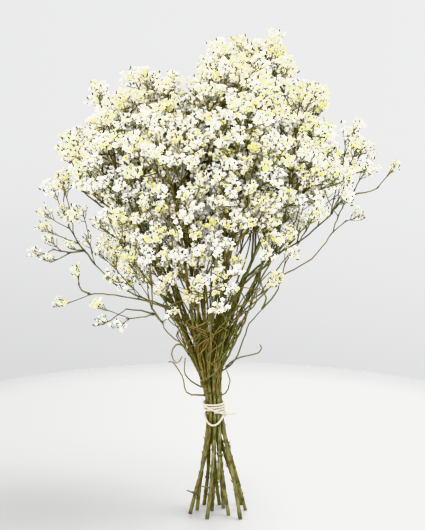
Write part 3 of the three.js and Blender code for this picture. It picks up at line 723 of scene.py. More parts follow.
def corolla_template(rng):
    """Five blunt petals that stand a little above the cup's throat."""
    spread = rng.uniform(*PETAL_SPREAD)
    points, faces, maps = [(0, 0, THROAT)], [], []
    for k in range(5):
        turn = (k + 0.5 + rng.normal(0, 0.06)) / 5 * 2 * math.pi
        length = PETAL_LENGTH * spread * rng.uniform(0.85, 1.1)
        lift = PETAL_LIFT + rng.normal(0, 0.15)
        for side, out, height in (
            (-PETAL_HALF, length, lift),
            (PETAL_HALF, length, lift),
            (0, length * PETAL_POINT, lift - PETAL_DROOP),
        ):
            points.append((math.cos(turn + side) * out, math.sin(turn + side) * out, height))
        left, right, tip = 3 * k + 1, 3 * k + 2, 3 * k + 3
        faces += [(0, left, tip), (0, tip, right)]
        maps += [[(k, 0), (k, 1), (k + 0.5, 1)], [(k, 0), (k + 0.5, 1), (k + 1, 1)]]
    maps = np.array(maps, float)
    maps[:, :, 0] /= 5
    return SimpleNamespace(points=np.array(points), faces=np.array(faces), maps=maps)


def bract_template(rng):
    """Two pointed scales that clasp the foot of the cup."""
    points, faces, maps = [], [], []
    for half in (0, 1):
        turn = half * math.pi * rng.uniform(0.8, 1.1)
        long = rng.uniform(*BRACT_LENGTH)
        start = len(points)
        for angle, radius, height in BRACT_CORNERS + [(0, BRACT_OUT + long * BRACT_LEAN, long)]:
            points.append((math.cos(turn + angle) * radius, math.sin(turn + angle) * radius, height))
        for corners in ((0, 1, 3), (1, 2, 3), (0, 2, 1)):
            faces.append([start + corner for corner in corners])
            maps.append([((0, 0), (0.5, 0), (1, 0), (0.5, 1))[corner] for corner in corners])
    return SimpleNamespace(points=np.array(points), faces=np.array(faces), maps=np.array(maps, float))


def bud_template(rng, beside):
    """A closed dry floret, a dark spindle that stands in an open cup or so far beside it."""
    top = BUD_HEIGHT + rng.uniform(-0.2, 0.3)
    rings = [([0.3], [1.2], 3, 0), ([BUD_RADIUS], [2.8], 3, 0.5), ([0.12], [top], 3, 1)]
    bud = make_template(rings, rng, 0.1)
    bud.points[:, 0] += beside
    return bud


class Skin:
    """The triangles of one mesh as they are gathered, with map corners and a colour mark per point."""

    def __init__(self):
        self.points, self.faces, self.maps, self.marks, self.count = [], [], [], [], 0

    def add(self, points, faces, maps, marks=None):
        self.points.append(points)
        self.faces.append(faces + self.count)
        self.maps.append(maps)
        if marks is not None:
            self.marks.append(marks)
        self.count += len(points)

    def build(self, name, material, baked=False):
        faces = np.concatenate(self.faces)
        corners = faces.ravel()
        mesh = bpy.data.meshes.new(name)
        mesh.vertices.add(self.count)
        mesh.vertices.foreach_set("co", (np.concatenate(self.points) * MM).ravel())
        mesh.loops.add(len(corners))
        mesh.loops.foreach_set("vertex_index", corners.astype(np.int32))
        mesh.polygons.add(len(faces))
        mesh.polygons.foreach_set("loop_start", np.arange(0, len(corners), 3, dtype=np.int32))
        mesh.update(calc_edges=True)
        mesh.polygons.foreach_set("use_smooth", np.ones(len(faces), bool))
        flat_map = np.concatenate(self.maps).reshape(-1, 2)
        for layer in (LINES_MAP, BAKE_MAP) if baked else (LINES_MAP,):
            mesh.uv_layers.new(name=layer).uv.foreach_set("vector", flat_map.ravel())
        if self.marks:
            marks = mesh.color_attributes.new(name=MARKS, type="FLOAT_COLOR", domain="POINT")
            full = np.column_stack([np.concatenate(self.marks), np.ones(self.count)])
            marks.data.foreach_set("color", full.ravel())
        mesh.materials.append(material)
        piece = bpy.data.objects.new(name, mesh)
        bpy.context.scene.collection.objects.link(piece)
        return piece


def sprinkle(skin, templates, florets, tones, chosen):
    """Copies of a floret part at the chosen florets. The map gives each tone its column."""
    places = np.flatnonzero(chosen)
    for kind, template in enumerate(templates):
        some = places[kind :: len(templates)]
        if len(some) == 0:
            continue
        turned = np.einsum("nij,pj->npi", florets.turn[some], template.points)
        points = turned * florets.size[some, None, None] + florets.at[some, None, :]
        offsets = np.arange(len(some)) * len(template.points)
        faces = template.faces[None] + offsets[:, None, None]
        maps = np.repeat(template.maps[None], len(some), axis=0)
        maps[..., 0] = (tones[some, None, None] + maps[..., 0] * COLUMN_WIDTH + COLUMN_START) / TONES
        skin.add(points.reshape(-1, 3), faces.reshape(-1, 3), maps.reshape(-1, 3, 2))


def turns_to(axes, spins):
    """For each axis, the turn that takes upright to it, spun about it."""
    sides = unit_rows(np.cross(axes, SIDEWAYS))
    others = np.cross(axes, sides)
    cos, sin = np.cos(spins)[:, None], np.sin(spins)[:, None]
    return np.stack([sides * cos + others * sin, others * cos - sides * sin, axes], axis=2)


def florets_at(at, axes, spread, scale, rng):
    """Florets or scales at their places, each spun about its axis by chance and of a size of its own."""
    turn = turns_to(axes, rng.uniform(0, 2 * math.pi, len(at)))
    return SimpleNamespace(at=at, turn=turn, size=rng.uniform(*spread, len(at)) * scale)


# Stalks

def smooth_run(nodes, step):
    """A curve that passes every node of a shoot, with more points between, and its radii."""
    points, radii = np.array([node.point for node in nodes]), [node.radius for node in nodes]
    before = np.vstack([2 * points[0] - points[1], points[:-1]])
    after = np.vstack([points[1:], 2 * points[-1] - points[-2]])
    run, widths = [], []
    for i in range(len(points) - 1):
        start, end = points[i], points[i + 1]
        pieces = max(2, math.ceil(np.linalg.norm(end - start) / step))
        slope_in, slope_out = (end - before[i]) / 2, (after[i + 1] - start) / 2
        for t in np.arange(pieces) / pieces:
            a, b = t * t * (3 - 2 * t), t * (1 - t)
            run.append(start * (1 - a) + end * a + slope_in * b * (1 - t) - slope_out * b * t)
            widths.append(radii[i] + (radii[i + 1] - radii[i]) * t)
    return np.array(run + [points[-1]]), np.array(widths + [radii[-1]])


def sides_along(lines):
    """Two directions across a line at each of its points, carried along it without a twist."""
    side = unit(np.cross(lines[0], SIDEWAYS))
    sides = []
    for line in lines:
        side = unit(side - line * (side @ line))
        sides.append(side)
    return np.array(sides), np.cross(lines, sides)


def rings_round(points, normals, others, angles, widths):
    """A ring of points round every point of a line, as wide as its row of widths says."""
    normals, others = normals[..., None, :], others[..., None, :]
    return (
        points[..., None, :]
        + normals * (np.cos(angles) * widths)[..., None]
        + others * (np.sin(angles) * widths)[..., None]
    )


def wall_of(count, sides):
    """The four corners of every quad between such rings: how far round and how far along."""
    along, around = np.divmod(np.arange((count - 1) * sides), sides)
    corners = ((0, 0), (1, 0), (1, 1), (0, 1))
    return np.stack([np.column_stack([around + on, along + up]) for on, up in corners], axis=1)


def add_tube(skin, points, radii, sides, marks, ribs=0.0):
    """A closed tube along a line, its first and last rings closed by a fan. The map is millimetres
    round and along."""
    normals, others = sides_along(unit_rows(np.gradient(points, axis=0)))
    angles = np.arange(sides) / sides * 2 * math.pi
    widths = radii[:, None] * (1 + ribs * np.cos(angles * sides / 2))[None]
    rings = rings_round(points, normals, others, angles, widths)
    count, along = len(points), lengths_along(points)
    girth = 2 * math.pi * radii.mean() / sides
    wall = wall_of(count, sides)
    quads = wall[..., 1] * sides + wall[..., 0] % sides
    places = np.stack([wall[..., 0] * girth, along[wall[..., 1]]], axis=2)
    faces, maps = ([rows[:, [0, 1, 2]], rows[:, [0, 2, 3]]] for rows in (quads, places))
    around = np.arange(sides)
    for middle, start, turned, height in ((0, 0, -1, 0), (1, (count - 1) * sides, 1, along[-1])):
        hub = np.full(sides, count * sides + middle)
        fan = np.column_stack([hub, start + around, start + (around + 1) % sides])
        faces.append(fan[:, ::turned])
        maps.append(np.full((sides, 3, 2), height))
    all_points = np.concatenate([rings.reshape(-1, 3), points[[0, -1]]])
    all_marks = np.concatenate([np.repeat(marks, sides, axis=0), marks[[0, -1]]])
    skin.add(all_points, np.concatenate(faces), np.concatenate(maps) / MAP_SPAN, all_marks)


def add_twigs(skin, points, radii, mark):
    """Many short three-sided twigs of the same number of points."""
    lines = unit_rows(np.gradient(points, axis=1))
    normals = unit_rows(np.cross(lines, SIDEWAYS))
    angles = np.arange(3) / 3 * 2 * math.pi
    rings = rings_round(points, normals, np.cross(lines, normals), angles, radii[:, None])
    many, count = points.shape[:2]
    wall = wall_of(count, 3)[:, [[0, 1, 2], [0, 2, 3]]].reshape(-1, 3, 2)
    caps = [(2, 1, 0), (count * 3 - 3, count * 3 - 2, count * 3 - 1)]
    faces = np.concatenate([wall[..., 1] * 3 + wall[..., 0] % 3, caps])
    maps = np.concatenate([wall, [[(0, 0)] * 3, [(0, count)] * 3]]) * TWIG_MAP / MAP_SPAN
    offsets = np.arange(many) * count * 3
    skin.add(
        rings.reshape(-1, 3),
        (faces[None] + offsets[:, None, None]).reshape(-1, 3),
        np.repeat(maps[None], many, axis=0).reshape(-1, 3, 2),
        np.tile(mark, (many * count * 3, 1)),
    )


def grow_cyme(head, rng):
    """The branchlets of one head, which leave its shoot one after another and end in a loose dome, and
    the places and directions of the florets along them."""
    neck = neck_of(head)
    turn = turns_to(head.axis[None], np.array([head.spin]))[0]
    run = smooth_run(head.shoot, TWIG_STEP)[0][::-1]
    back = lengths_along(run)
    scale = head.radius / HEAD_RADIUS
    count = FEWEST_BRANCHLETS + (scale > MIDDLE_HEAD) + (scale > FULL_HEAD)
    lean, long = rng.normal(0, 0.2, 2), rng.uniform(0, 0.6)
    lines, at, axes = [], [], []
    for k in range(count):
        share = k / (count - 1)
        start_back = min(back[-1] * 0.6, CYME_BACK * scale * share**1.3 + rng.uniform(0, 1.5))
        start = np.array([np.interp(start_back, back, run[:, i]) for i in range(3)])
        bearing = CYME_TURN * k + rng.uniform(-0.5, 0.5)
        wide = scale * (CYME_INNER + CYME_OUTER * share**0.7) * rng.uniform(0.8, 1.15)
        high = scale * (CYME_RISE - long * CYME_FALL * share) + rng.normal(0, 1.3)
        local = np.array([math.cos(bearing) + lean[0], math.sin(bearing) + lean[1], 0]) * wide + UP * high
        tip = neck + turn @ local
        heading = tip - start
        knee = start + heading * 0.5 + (turn @ (local * [1, 1, 0])) * 0.22 - head.axis * 0.8
        lines.append(bow_point(start, knee, tip, np.array([[0], [0.5], [1]])))
        length = np.linalg.norm(heading)
        across = unit(np.cross(heading, head.axis + 0.01))
        many = 2 if length < SHORT_BRANCHLET else 3 if length < MIDDLE_BRANCHLET or scale < 0.9 else 4
        spacing = FLORET_SPACING / length
        for number in range(many):
            share = 1 - spacing * number + rng.uniform(-0.04, 0.0)
            place = bow_point(start, knee, tip, share)
            slope = unit((1 - share) * (knee - start) + share * (tip - knee))
            side = across * (1 if number % 2 else -1) * (0.25 if number == 0 else 0.6)
            axis = unit(slope * 0.6 + head.axis * 0.45 + side + UP * 0.15 + rng.normal(0, 0.25, 3))
            at.append(place + axis * rng.uniform(0.2, 1.0))
            axes.append(axis)
    return np.array(lines), np.array(at), np.array(axes)


def stalk_marks(brown, shades):
    """What the stalk's material reads at each ring: how brown, how dark or, below 0, how pale, and
    whether cut."""
    return np.column_stack([np.full(len(shades), brown), shades, np.zeros(len(shades))])


def node_marks(run, nodes):
    """1 at the nodes that branch, falling to 0 a few millimetres away."""
    knots = np.array([node.point for node in nodes if node.branches])
    if len(knots) == 0:
        return np.zeros(len(run))
    gaps = np.linalg.norm(run[:, None] - knots[None], axis=2).min(axis=1)
    return np.clip(1 - gaps / NODE_REACH, 0, 1)


def add_trunk(skin, nodes, brown, rng):
    """A stem: ribbed, a little thicker where it branches, with a pale cut face at its foot."""
    run, widths = smooth_run(nodes, TRUNK_STEP)
    widths = widths * (1 + rng.normal(0, TRUNK_UNEVEN, len(run)))
    along = np.arange(len(run)) + rng.uniform(0, KNOT_EVERY)
    knots = np.clip(1 - np.abs((along + rng.normal(0, 0.7, len(run))) % KNOT_EVERY - 1), 0, 1)
    swell = np.maximum(node_marks(run, nodes), knots)
    foot = run[0] + (run[1] - run[0]) * 0.04
    run = np.vstack([run[:1], foot, run[1:]])
    widths = np.concatenate([widths[:1] * 0.96, widths])
    swell = np.concatenate([[0], swell])
    marks = stalk_marks(brown, np.maximum(swell, rng.uniform(*TRUNK_SHADES)))
    marks[0, 2] = 1
    add_tube(skin, run, widths * (1 + TRUNK_SWELL * swell), TRUNK_SIDES, marks, ribs=TRUNK_RIBS)


def add_shoot(skin, nodes, brown, shades, rng):
    run, widths = smooth_run(nodes, SHOOT_STEP)
    run[1:-1] += rng.normal(0, SHOOT_UNEVEN, (len(run) - 2, 3))
    swell = node_marks(run, nodes)
    sides = 6 if widths[0] > 0.8 else 4
    marks = stalk_marks(brown, np.maximum(swell, rng.uniform(*shades)))
    add_tube(skin, run, widths * (1 + SHOOT_SWELL * swell), sides, marks)


def fork_scales(growth, rng):
    """The small dark scale that sits under each fork, as florets' places for the scale template."""
    at, axes = [], []
    for nodes in growth.shoots[1:]:
        root, line = nodes[0], nodes[0].direction
        at.append(root.point + line * root.radius * 0.6)
        axes.append(unit(line + rng.normal(0, 0.12, 3)))
    return np.array(at), np.array(axes)


def trunk_scales(growth, rng):
    """The withered scales that clasp a bare stem every centimetre or so, up to where it flowers."""
    nodes = growth.shoots[0]
    run, widths = smooth_run(nodes, SCAR_SPACING)
    chosen = np.flatnonzero((run[:, 2] > SCAR_SPACING) & (run[:, 2] < TIE_HEIGHT + BRANCHING_HEIGHT))
    lines = unit_rows(np.gradient(run, axis=0)[chosen])
    turns = turns_to(lines, rng.uniform(0, 2 * math.pi, len(chosen)))
    outward = turns[:, :, 0]
    at = run[chosen] + outward * widths[chosen, None] * 0.55 + lines * rng.uniform(-4, 4, (len(chosen), 1))
    return at, unit_rows(lines + outward * rng.uniform(0.05, 0.35, (len(chosen), 1)))


def build_stem(number, growth, materials):
    rng = np.random.default_rng(SHAPE_SEED + number)
    name = f"{number:02d}"
    stalk = Skin()
    brown = rng.uniform(0.0, STEM_BROWN)
    if number in BROWN_STEMS:
        brown = BROWNEST
    add_trunk(stalk, growth.shoots[0], brown, rng)
    for nodes in growth.shoots[1:]:
        add_shoot(stalk, nodes, np.clip(brown + rng.normal(0, 0.2), 0, 1), SHOOT_SHADES, rng)
    for nodes in growth.winding:
        add_shoot(stalk, nodes, rng.uniform(*TANGLE_BROWN), TANGLE_SHADES, rng)
    rows = []
    for place, head in enumerate(growth.heads):
        lines, places, axes = grow_cyme(head, rng)
        add_twigs(stalk, lines, np.linspace(*TWIG_RADII, 3), (brown * TWIG_BROWN, TWIG_SHADE, 0.0))
        packed = place < growth.packed_heads
        ages = rng.normal(rng.uniform(0, TONES * AGE_RANGE), AGE_SPREAD, len(places))
        shared = (rng.beta(*FLOWERING_SPREAD), packed, packed and head.radius < HEAD_RADIUS)
        rows.append(np.column_stack([places, axes, ages, np.tile(shared, (len(places), 1))]))
    rows = np.concatenate(rows)
    count = len(rows)
    ages, lemons, packed, outlying = rows[:, 6:].T
    scale = FLORET_SIZE / TEMPLATE_SIZE * np.where(outlying, OUTLYING_FLORET, 1)
    florets = florets_at(rows[:, :3], rows[:, 3:6], SIZE_SPREAD, scale, rng)
    tones = np.clip(ages + outlying * OUTLYING_AGE, 0, TONES - 1).astype(int)
    shut = rng.random(count) < SHUT_SHARE + outlying * OUTLYING_SHUT
    calyx, corolla, bract = Skin(), Skin(), Skin()
    sprinkle(calyx, CALYX_KINDS, florets, tones, ~shut & (packed > 0))
    sprinkle(calyx, PLAIN_CALYX_KINDS, florets, tones, ~shut & (packed == 0))
    sprinkle(corolla, COROLLA_KINDS, florets, tones, ~shut & (rng.random(count) < lemons))
    sprinkle(bract, BRACT_KINDS, florets, tones, rng.random(count) < SCALED_SHARE)
    sprinkle(bract, BUD_KINDS, florets, tones, shut | (rng.random(count) < DRY_TIP_SHARE))
    at, axes = (np.concatenate(pair) for pair in zip(fork_scales(growth, rng), trunk_scales(growth, rng)))
    scale = np.where(np.arange(len(at)) < len(growth.shoots) - 1, 1.0, TRUNK_SCALE_SIZE)
    scales = florets_at(at, axes, SCALE_SPREAD, scale, rng)
    sprinkle(bract, BRACT_KINDS, scales, rng.integers(0, TONES, len(at)), np.ones(len(at), bool))
    for skin, part in ((stalk, "stalk"), (calyx, "calyx"), (corolla, "corolla"), (bract, "bract")):
        piece = skin.build(f"{part}_{name}", materials[part], baked=part != "stalk")
        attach(piece, "root")
        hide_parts(f"stem_{name}")


# The twine, laid from three yarns

def smoothstep(value, low, high):
    share = min(1, max(0, (value - low) / (high - low)))
    return share * share * (3 - 2 * share)


def twine_point(turn):
    """The middle of the twine after so many turns round the bundle, starting at the front."""
    past = turn - COIL_TURNS
    crossing = smoothstep(past, CROSSING_START, CROSSING_END)
    across = (past - CROSSING_START) / (CROSSING_END - CROSSING_START)
    over = math.sin(math.pi * min(1, max(0, across)))
    slack = math.sin(math.pi * min(1, max(0, (past - LOOP_START) / LOOP_TURNS)))
    angle = (turn - 0.25) * 2 * math.pi
    coil = COIL_PITCH * (min(turn, COIL_TURNS + COIL_REST) - COIL_TURNS / 2)
    height = coil - CROSSING_DROP * crossing - LOOP_SAG * slack * slack
    along, around, sway = level_at(height)
    bundle = OUTER_RING * math.hypot(along, around) + sway + STEM_RADIUS
    radius = bundle + TWINE_GAP + TWINE_RADIUS + CROSSING_LIFT * over + LOOP_LIFT * slack
    across = math.cos(angle) * radius + lean_at(height)
    return np.array([across, math.sin(angle) * radius, TIE_HEIGHT + height])


def resample(points, spacing):
    lengths = lengths_along(points)
    places = np.linspace(0, lengths[-1], max(3, math.ceil(lengths[-1] / spacing)))
    return np.column_stack([np.interp(places, lengths, points[:, i]) for i in range(3)])


def add_strand(skin, points, radius):
    """Three yarns twisted round a line."""
    run = resample(points, YARN_STEP)
    normals, others = sides_along(unit_rows(np.gradient(run, axis=0)))
    along = lengths_along(run)
    for yarn in range(3):
        angle = 2 * math.pi * (along / YARN_LAY + yarn / 3)
        offset = normals * np.cos(angle)[:, None] + others * np.sin(angle)[:, None]
        path = run + offset * radius * YARN_PLACE
        add_tube(skin, path, np.full(len(path), radius * YARN_WIDTH), 6, np.zeros((len(path), 3)))


def build_twine(material):
    skin = Skin()
    turns = COIL_TURNS + TWINE_END
    coil = np.array([twine_point(turns * t) for t in np.linspace(0, 1, COIL_POINTS)])
    add_strand(skin, coil, TWINE_RADIUS)
    end = coil[-1]
    outward = unit(end * [1, 1, 0])
    side = np.cross(UP, outward)
    angles = np.linspace(KNOT_START, 2 * math.pi + KNOT_PAST, KNOT_POINTS)
    lift = np.linspace(*KNOT_LIFT, KNOT_POINTS)
    knot = [
        end + side * math.cos(a) * KNOT_RADIUS + UP * math.sin(a) * KNOT_RADIUS + outward * raised
        for a, raised in zip(angles, lift)
    ]
    add_strand(skin, np.array(knot), TWINE_RADIUS)
    start = end + outward * TWINE_RADIUS
    tail_end = start + [TAIL_LENGTH, -TAIL_FORWARD, TAIL_RISE]
    bow = (start + tail_end) / 2 - UP * TAIL_BOW
    tail = [bow_point(start, bow, tail_end, t) for t in np.linspace(0, 1, TAIL_POINTS)]
    add_strand(skin, np.array(tail), TWINE_RADIUS * TAIL_WIDTH)
    piece = skin.build("twine_strand", material)
    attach(piece, "root")
    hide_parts("twine_tie")


# Finishes

def new_group(name, inputs, outputs):
    """An empty shader group with named sockets: a map, then numbers with a starting value."""
    group = bpy.data.node_groups.new(name, "ShaderNodeTree")
    group.interface.new_socket(name="Map", in_out="INPUT", socket_type="NodeSocketVector")
    for label, value in inputs:
        socket = group.interface.new_socket(name=label, in_out="INPUT", socket_type="NodeSocketFloat")
        socket.default_value = value
    for label in outputs:
        group.interface.new_socket(name=label, in_out="OUTPUT", socket_type="NodeSocketFloat")
    return group, group.nodes.new("NodeGroupInput").outputs, group.nodes.new("NodeGroupOutput").inputs


def feed(tree, socket, value):
    """Links a socket to another, or gives it a plain value."""
    if isinstance(value, bpy.types.NodeSocket):
        tree.links.new(value, socket)
    else:
        socket.default_value = value


def join(tree, node_type, values=(), outputs=0, **settings):
    """Adds a node, fills its inputs by number or name from sockets or plain values, gives an output."""
    node = tree.nodes.new(node_type)
    for key, value in settings.items():
        setattr(node, key, value)
    for key, value in dict(values).items():
        feed(tree, node.inputs[key], value)
    return node.outputs[outputs]


def sums(tree, operation, first, second=0.0, third=0.5, clamp=False):
    values = {0: first, 1: second, 2: third}
    return join(tree, "ShaderNodeMath", values, operation=operation, use_clamp=clamp)


def ranged(tree, value, low, high, start=0.0, end=1.0, **settings):
    """A number taken from one range to another."""
    values = {0: value, 1: low, 2: high, 3: start, 4: end}
    return join(tree, "ShaderNodeMapRange", values, **settings)


def parts_of(tree, vector):
    return join(tree, "ShaderNodeSeparateXYZ", {0: vector}).node.outputs


def mixed(tree, share, first, second):
    """A colour between two others."""
    colours = [value if isinstance(value, bpy.types.NodeSocket) else (*value, 1) for value in (first, second)]
    values = {0: share, 6: colours[0], 7: colours[1]}
    return join(tree, "ShaderNodeMix", values, 2, data_type="RGBA")


def dress(tree, shader, colour, relief, strength, depth):
    """Gives a shader its colour and its fine relief."""
    tree.links.new(colour, shader.inputs["Base Color"])
    bump = join(tree, "ShaderNodeBump", {"Height": relief, "Strength": strength, "Distance": depth})
    tree.links.new(bump, shader.inputs["Normal"])


def make_petal_lines():
    """Splits a floret's map into its tone and its place on the petal, with the petal's fine veins."""
    group, given, out = new_group("petal lines", [("Veins", 5.0)], ["Tone", "Chance", "Height", "Vein"])
    parts = parts_of(group, given["Map"])
    column = sums(group, "MULTIPLY", parts[0], float(TONES))
    number = sums(group, "FLOOR", column)
    around = sums(group, "SUBTRACT", column, number)
    group.links.new(sums(group, "DIVIDE", number, float(TONES)), out["Tone"])
    where = join(group, "ShaderNodeCombineXYZ", {0: number, 1: 3.7, 2: 0.5})
    group.links.new(join(group, "ShaderNodeTexWhiteNoise", {0: where}), out["Chance"])
    wave = sums(group, "MULTIPLY", sums(group, "MULTIPLY", around, given["Veins"]), 2 * math.pi)
    vein = sums(group, "MULTIPLY_ADD", sums(group, "COSINE", wave), 0.5, 0.5)
    group.links.new(sums(group, "POWER", vein, 6.0), out["Vein"])
    group.links.new(parts[1], out["Height"])
    return group


def make_fibres():
    """Fine streaks that run along a stalk or a yarn, from its map in millimetres."""
    group, given, out = new_group("fibres", [("Across", 2.0), ("Along", 0.2)], ["Streaks", "Blotches"])
    stretch = join(group, "ShaderNodeCombineXYZ", {0: given["Across"], 1: given["Along"], 2: 1.0})
    place = join(group, "ShaderNodeVectorMath", {0: given["Map"], 1: stretch}, operation="MULTIPLY")
    streaks = join(group, "ShaderNodeTexNoise", {"Vector": place, "Scale": MAP_SPAN, "Detail": 3.0})
    group.links.new(streaks, out["Streaks"])
    coarse = {"Vector": given["Map"], "Scale": MAP_SPAN * 0.06, "Detail": 2.0}
    blotches = join(group, "ShaderNodeTexNoise", coarse)
    group.links.new(blotches, out["Blotches"])
    return group


def new_material(name, roughness):
    material = bpy.data.materials.new(name)
    material.use_nodes = True
    tree = material.node_tree
    shader = tree.nodes["Principled BSDF"]
    shader.inputs["Roughness"].default_value = roughness
    return material, tree, shader


def placed(tree, group, **values):
    node = tree.nodes.new("ShaderNodeGroup")
    node.node_tree = group
    tree.links.new(join(tree, "ShaderNodeUVMap", uv_map=LINES_MAP), node.inputs["Map"])
    for key, value in values.items():
        node.inputs[key].default_value = value
    return node.outputs


def petal_material(name, group, low, high, aged, vein_colour, veins, roughness, tint=None):
    """A papery finish: one colour at the foot, another at the rim, older florets stained, fine veins.
    Some of the tones may have a tint of their own."""
    material, tree, shader = new_material(name, roughness)
    lines = placed(tree, group, Veins=veins)
    if tint:
        chosen = sums(tree, "GREATER_THAN", lines["Chance"], TINTED_ABOVE)
        high = mixed(tree, sums(tree, "MULTIPLY", chosen, TINT_STRENGTH), high, tint)
    colour = mixed(tree, sums(tree, "POWER", lines["Height"], 0.55), low, high)
    old = sums(tree, "MULTIPLY", sums(tree, "POWER", lines["Tone"], 1.6), 0.95)
    colour = mixed(tree, old, colour, aged)
    dark = sums(tree, "MULTIPLY", lines["Vein"], sums(tree, "MULTIPLY_ADD", lines["Height"], -0.35, 0.5))
    dress(tree, shader, mixed(tree, dark, colour, vein_colour), lines["Vein"], 0.4, 0.0003)
    shader.inputs["Specular IOR Level"].default_value = 0.1
    return material


def stalk_material(group):
    material, tree, shader = new_material("dried olive stalk", 0.62)
    shader.inputs["Specular IOR Level"].default_value = 0.08
    fibres = placed(tree, group, Across=1.6, Along=0.12)
    marks = tree.nodes.new("ShaderNodeSeparateColor")
    tree.links.new(join(tree, "ShaderNodeAttribute", attribute_name=MARKS), marks.inputs[0])
    brown, node, cut = marks.outputs
    streaks = ranged(tree, fibres["Streaks"], 0.33, 0.62)
    colour = mixed(tree, streaks, STALK_SHADE, STALK_GREEN)
    patchy = sums(tree, "MULTIPLY", sums(tree, "MULTIPLY_ADD", fibres["Blotches"], 1.6, -0.55), streaks)
    tan = sums(tree, "ADD", fibres["Blotches"], 0.35)
    for mark, strength, over in (
        (patchy, 0.7, STALK_LIGHT),
        (brown, tan, STALK_BROWN),
        (node, -0.75, STALK_LIGHT),
        (node, 0.8, STALK_NODE),
    ):
        colour = mixed(tree, sums(tree, "MULTIPLY", mark, strength, clamp=True), colour, over)
    dress(tree, shader, mixed(tree, cut, colour, STALK_PITH), fibres["Streaks"], 0.6, 0.0004)
    rough = ranged(tree, fibres["Streaks"], 0.0, 1.0, 0.5, 0.75)
    tree.links.new(rough, shader.inputs["Roughness"])
    return material


def twine_material(group):
    material, tree, shader = new_material("undyed cotton twine", 0.88)
    fibres = placed(tree, group, Across=5.0, Along=1.2)
    colour = mixed(tree, fibres["Streaks"], TWINE_SHADE, TWINE_LIGHT)
    soiled = sums(tree, "MULTIPLY", fibres["Blotches"], 0.35)
    dress(tree, shader, mixed(tree, soiled, colour, TWINE_STAIN), fibres["Streaks"], 0.7, 0.0002)
    shader.inputs["Sheen Weight"].default_value = 0.3
    return material


petal_lines, fibre_lines = make_petal_lines(), make_fibres()
materials = {
    "stalk": stalk_material(fibre_lines),
    "calyx": petal_material(
        "papery calyx", petal_lines, CALYX_FOOT, CALYX_RIM, CALYX_AGED, CALYX_VEIN, 5.0, 0.7, CALYX_LEMON
    ),
    "corolla": petal_material(
        "lemon corolla", petal_lines, COROLLA_FOOT, COROLLA_RIM, COROLLA_AGED, COROLLA_FOOT, 5.0, 0.65
    ),
    "bract": petal_material(
        "dry dark bract", petal_lines, BRACT_FOOT, BRACT_TIP, BRACT_AGED, BRACT_FOOT, 2.0, 0.75
    ),
}
kinds = np.random.default_rng(SHAPE_SEED)
CALYX_KINDS = [calyx_template(kinds) for _ in range(8)]
PLAIN_CALYX_KINDS = [calyx_template(kinds, plain=True) for _ in range(8)]
COROLLA_KINDS = [corolla_template(kinds) for _ in range(5)]
BRACT_KINDS = [bract_template(kinds) for _ in range(5)]
BUD_KINDS = [bud_template(kinds, beside) for beside in BUD_PLACES]

for number, growth in enumerate(growths, 1):
    build_stem(number, growth, materials)
build_twine(twine_material(fibre_lines))

# The studio: a pale round table top, a paler room round it, soft light from the upper right

def build_table():
    """A round top, from its middle out over a rounded edge and down its side."""
    angles = np.arange(TABLE_SIDES) / TABLE_SIDES * 2 * math.pi
    rings = [
        np.column_stack([
            np.cos(angles) * TABLE_WIDE * wide,
            np.sin(angles) * TABLE_DEEP * wide + TABLE_MIDDLE,
            np.full(TABLE_SIDES, height),
        ])
        for wide, height in TABLE_RINGS
    ]
    points = np.vstack([[[0, TABLE_MIDDLE, 0.0]], *rings])
    faces = [(0, 1 + k, 1 + (k + 1) % TABLE_SIDES) for k in range(TABLE_SIDES)]
    for start in range(1, len(points) - TABLE_SIDES, TABLE_SIDES):
        faces += [face[::-1] for face in strip(start, TABLE_SIDES, start + TABLE_SIDES, TABLE_SIDES)[0]]
    faces = np.array(faces)
    skin = Skin()
    skin.add(points, faces, (points[:, :2] * MM)[faces])
    material, tree, shader = new_material("pale table", 0.55)
    place = join(tree, "ShaderNodeTexCoord", outputs=3)
    cloud = join(tree, "ShaderNodeTexNoise", {"Vector": place, "Scale": 3.0, "Detail": 4.0})
    across, back, _ = parts_of(tree, place)
    # Painted shade: the top is coloured darker to the left and a little darker towards the front, as if the
    # light from the right fell off across it and the bunch's shadow lay on its left
    shade_slant = sums(tree, "MULTIPLY_ADD", back, 0.2, across)
    colour = mixed(tree, ranged(tree, shade_slant, -0.2, 0.08), TABLE_SHADED_LEFT, TABLE_LIT_RIGHT)
    colour = mixed(tree, sums(tree, "MULTIPLY", cloud, 0.25), colour, TABLE_CLOUD)
    scale, shift = (1 / TABLE_WIDE / MM, 1 / TABLE_DEEP / MM, 0), (0, -TABLE_MIDDLE / TABLE_DEEP, 0)
    squeezed = join(tree, "ShaderNodeVectorMath", {0: place, 1: scale}, operation="MULTIPLY")
    away = join(tree, "ShaderNodeVectorMath", {0: squeezed, 1: shift}, operation="ADD")
    from_middle = join(tree, "ShaderNodeVectorMath", {0: away}, outputs=1, operation="LENGTH")
    # Painted shade: the outer fifth of the top is coloured darker towards the rim
    edge = ranged(tree, from_middle, 0.8, 1.0, interpolation_type="SMOOTHSTEP")
    tree.links.new(mixed(tree, edge, colour, TABLE_EDGE_SHADE), shader.inputs["Base Color"])
    table = skin.build("table_top", material)


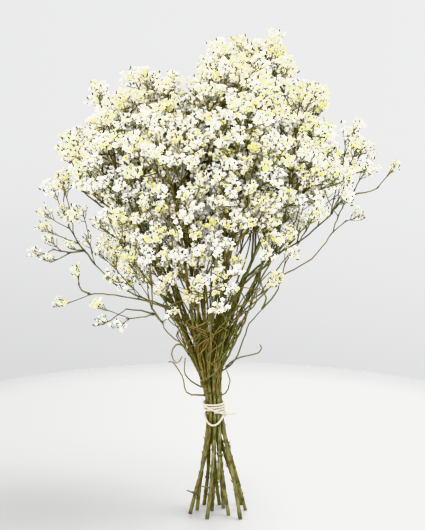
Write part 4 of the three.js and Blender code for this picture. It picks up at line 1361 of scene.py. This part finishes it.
def add_light(name, place, aim, size, power, colour):
    light = bpy.data.lights.new(name, "AREA")
    light.shape, light.size, light.energy, light.color = "DISK", size, power, colour
    lamp = bpy.data.objects.new(name, light)
    lamp.location = place
    lamp.rotation_euler = (Vector(aim) - Vector(place)).to_track_quat("-Z", "Y").to_euler()
    bpy.context.scene.collection.objects.link(lamp)


def build_room():
    """The room's light is even and white; the camera sees it as a pale grey wall."""
    world = bpy.data.worlds.new("pale room")
    bpy.context.scene.world = world
    world.use_nodes = True
    tree = world.node_tree
    room = tree.nodes["Background"]
    room.inputs[0].default_value = (*ROOM_COLOUR, 1)
    room.inputs[1].default_value = ROOM_LIGHT
    wall = tree.nodes.new("ShaderNodeBackground")
    across, _, up = parts_of(tree, join(tree, "ShaderNodeTexCoord"))
    # Painted shade on the wall: coloured darker to the left than to the right, and dimmed below the horizon
    # where it meets the table
    tree.links.new(mixed(tree, ranged(tree, across, -0.12, 0.12), WALL_SHADED_LEFT, WALL_LIT_RIGHT), wall.inputs[0])
    tree.links.new(ranged(tree, up, -0.2, -0.08, WALL_SHADE, 1.0), wall.inputs[1])
    choose = tree.nodes.new("ShaderNodeMixShader")
    tree.links.new(join(tree, "ShaderNodeLightPath"), choose.inputs[0])
    tree.links.new(room.outputs[0], choose.inputs[1])
    tree.links.new(wall.outputs[0], choose.inputs[2])
    tree.links.new(choose.outputs[0], tree.nodes["World Output"].inputs[0])


build_table()
build_room()
add_light("key", (0.8, -0.05, 2.0), (0, 0, 0.25), 1.3, KEY_POWER, (1.0, 0.99, 0.975))
add_light("fill", (-0.5, -2.4, 0.9), (0, 0, 0.25), 1.4, FILL_POWER, (1.0, 1.0, 1.0))

camera = bpy.data.objects.new("camera", bpy.data.cameras.new("camera"))
bpy.context.scene.collection.objects.link(camera)
camera.data.sensor_fit = "HORIZONTAL"
camera.data.sensor_width, camera.data.lens = 36.0, LENS
camera.data.clip_start, camera.data.clip_end = 0.05, 20.0
camera.location = CAMERA_PLACE
camera.rotation_euler = (Vector(CAMERA_AIM) - camera.location).to_track_quat("-Z", "Y").to_euler()
bpy.context.scene.camera = camera
bpy.context.scene.view_settings.view_transform = "Khronos PBR Neutral"
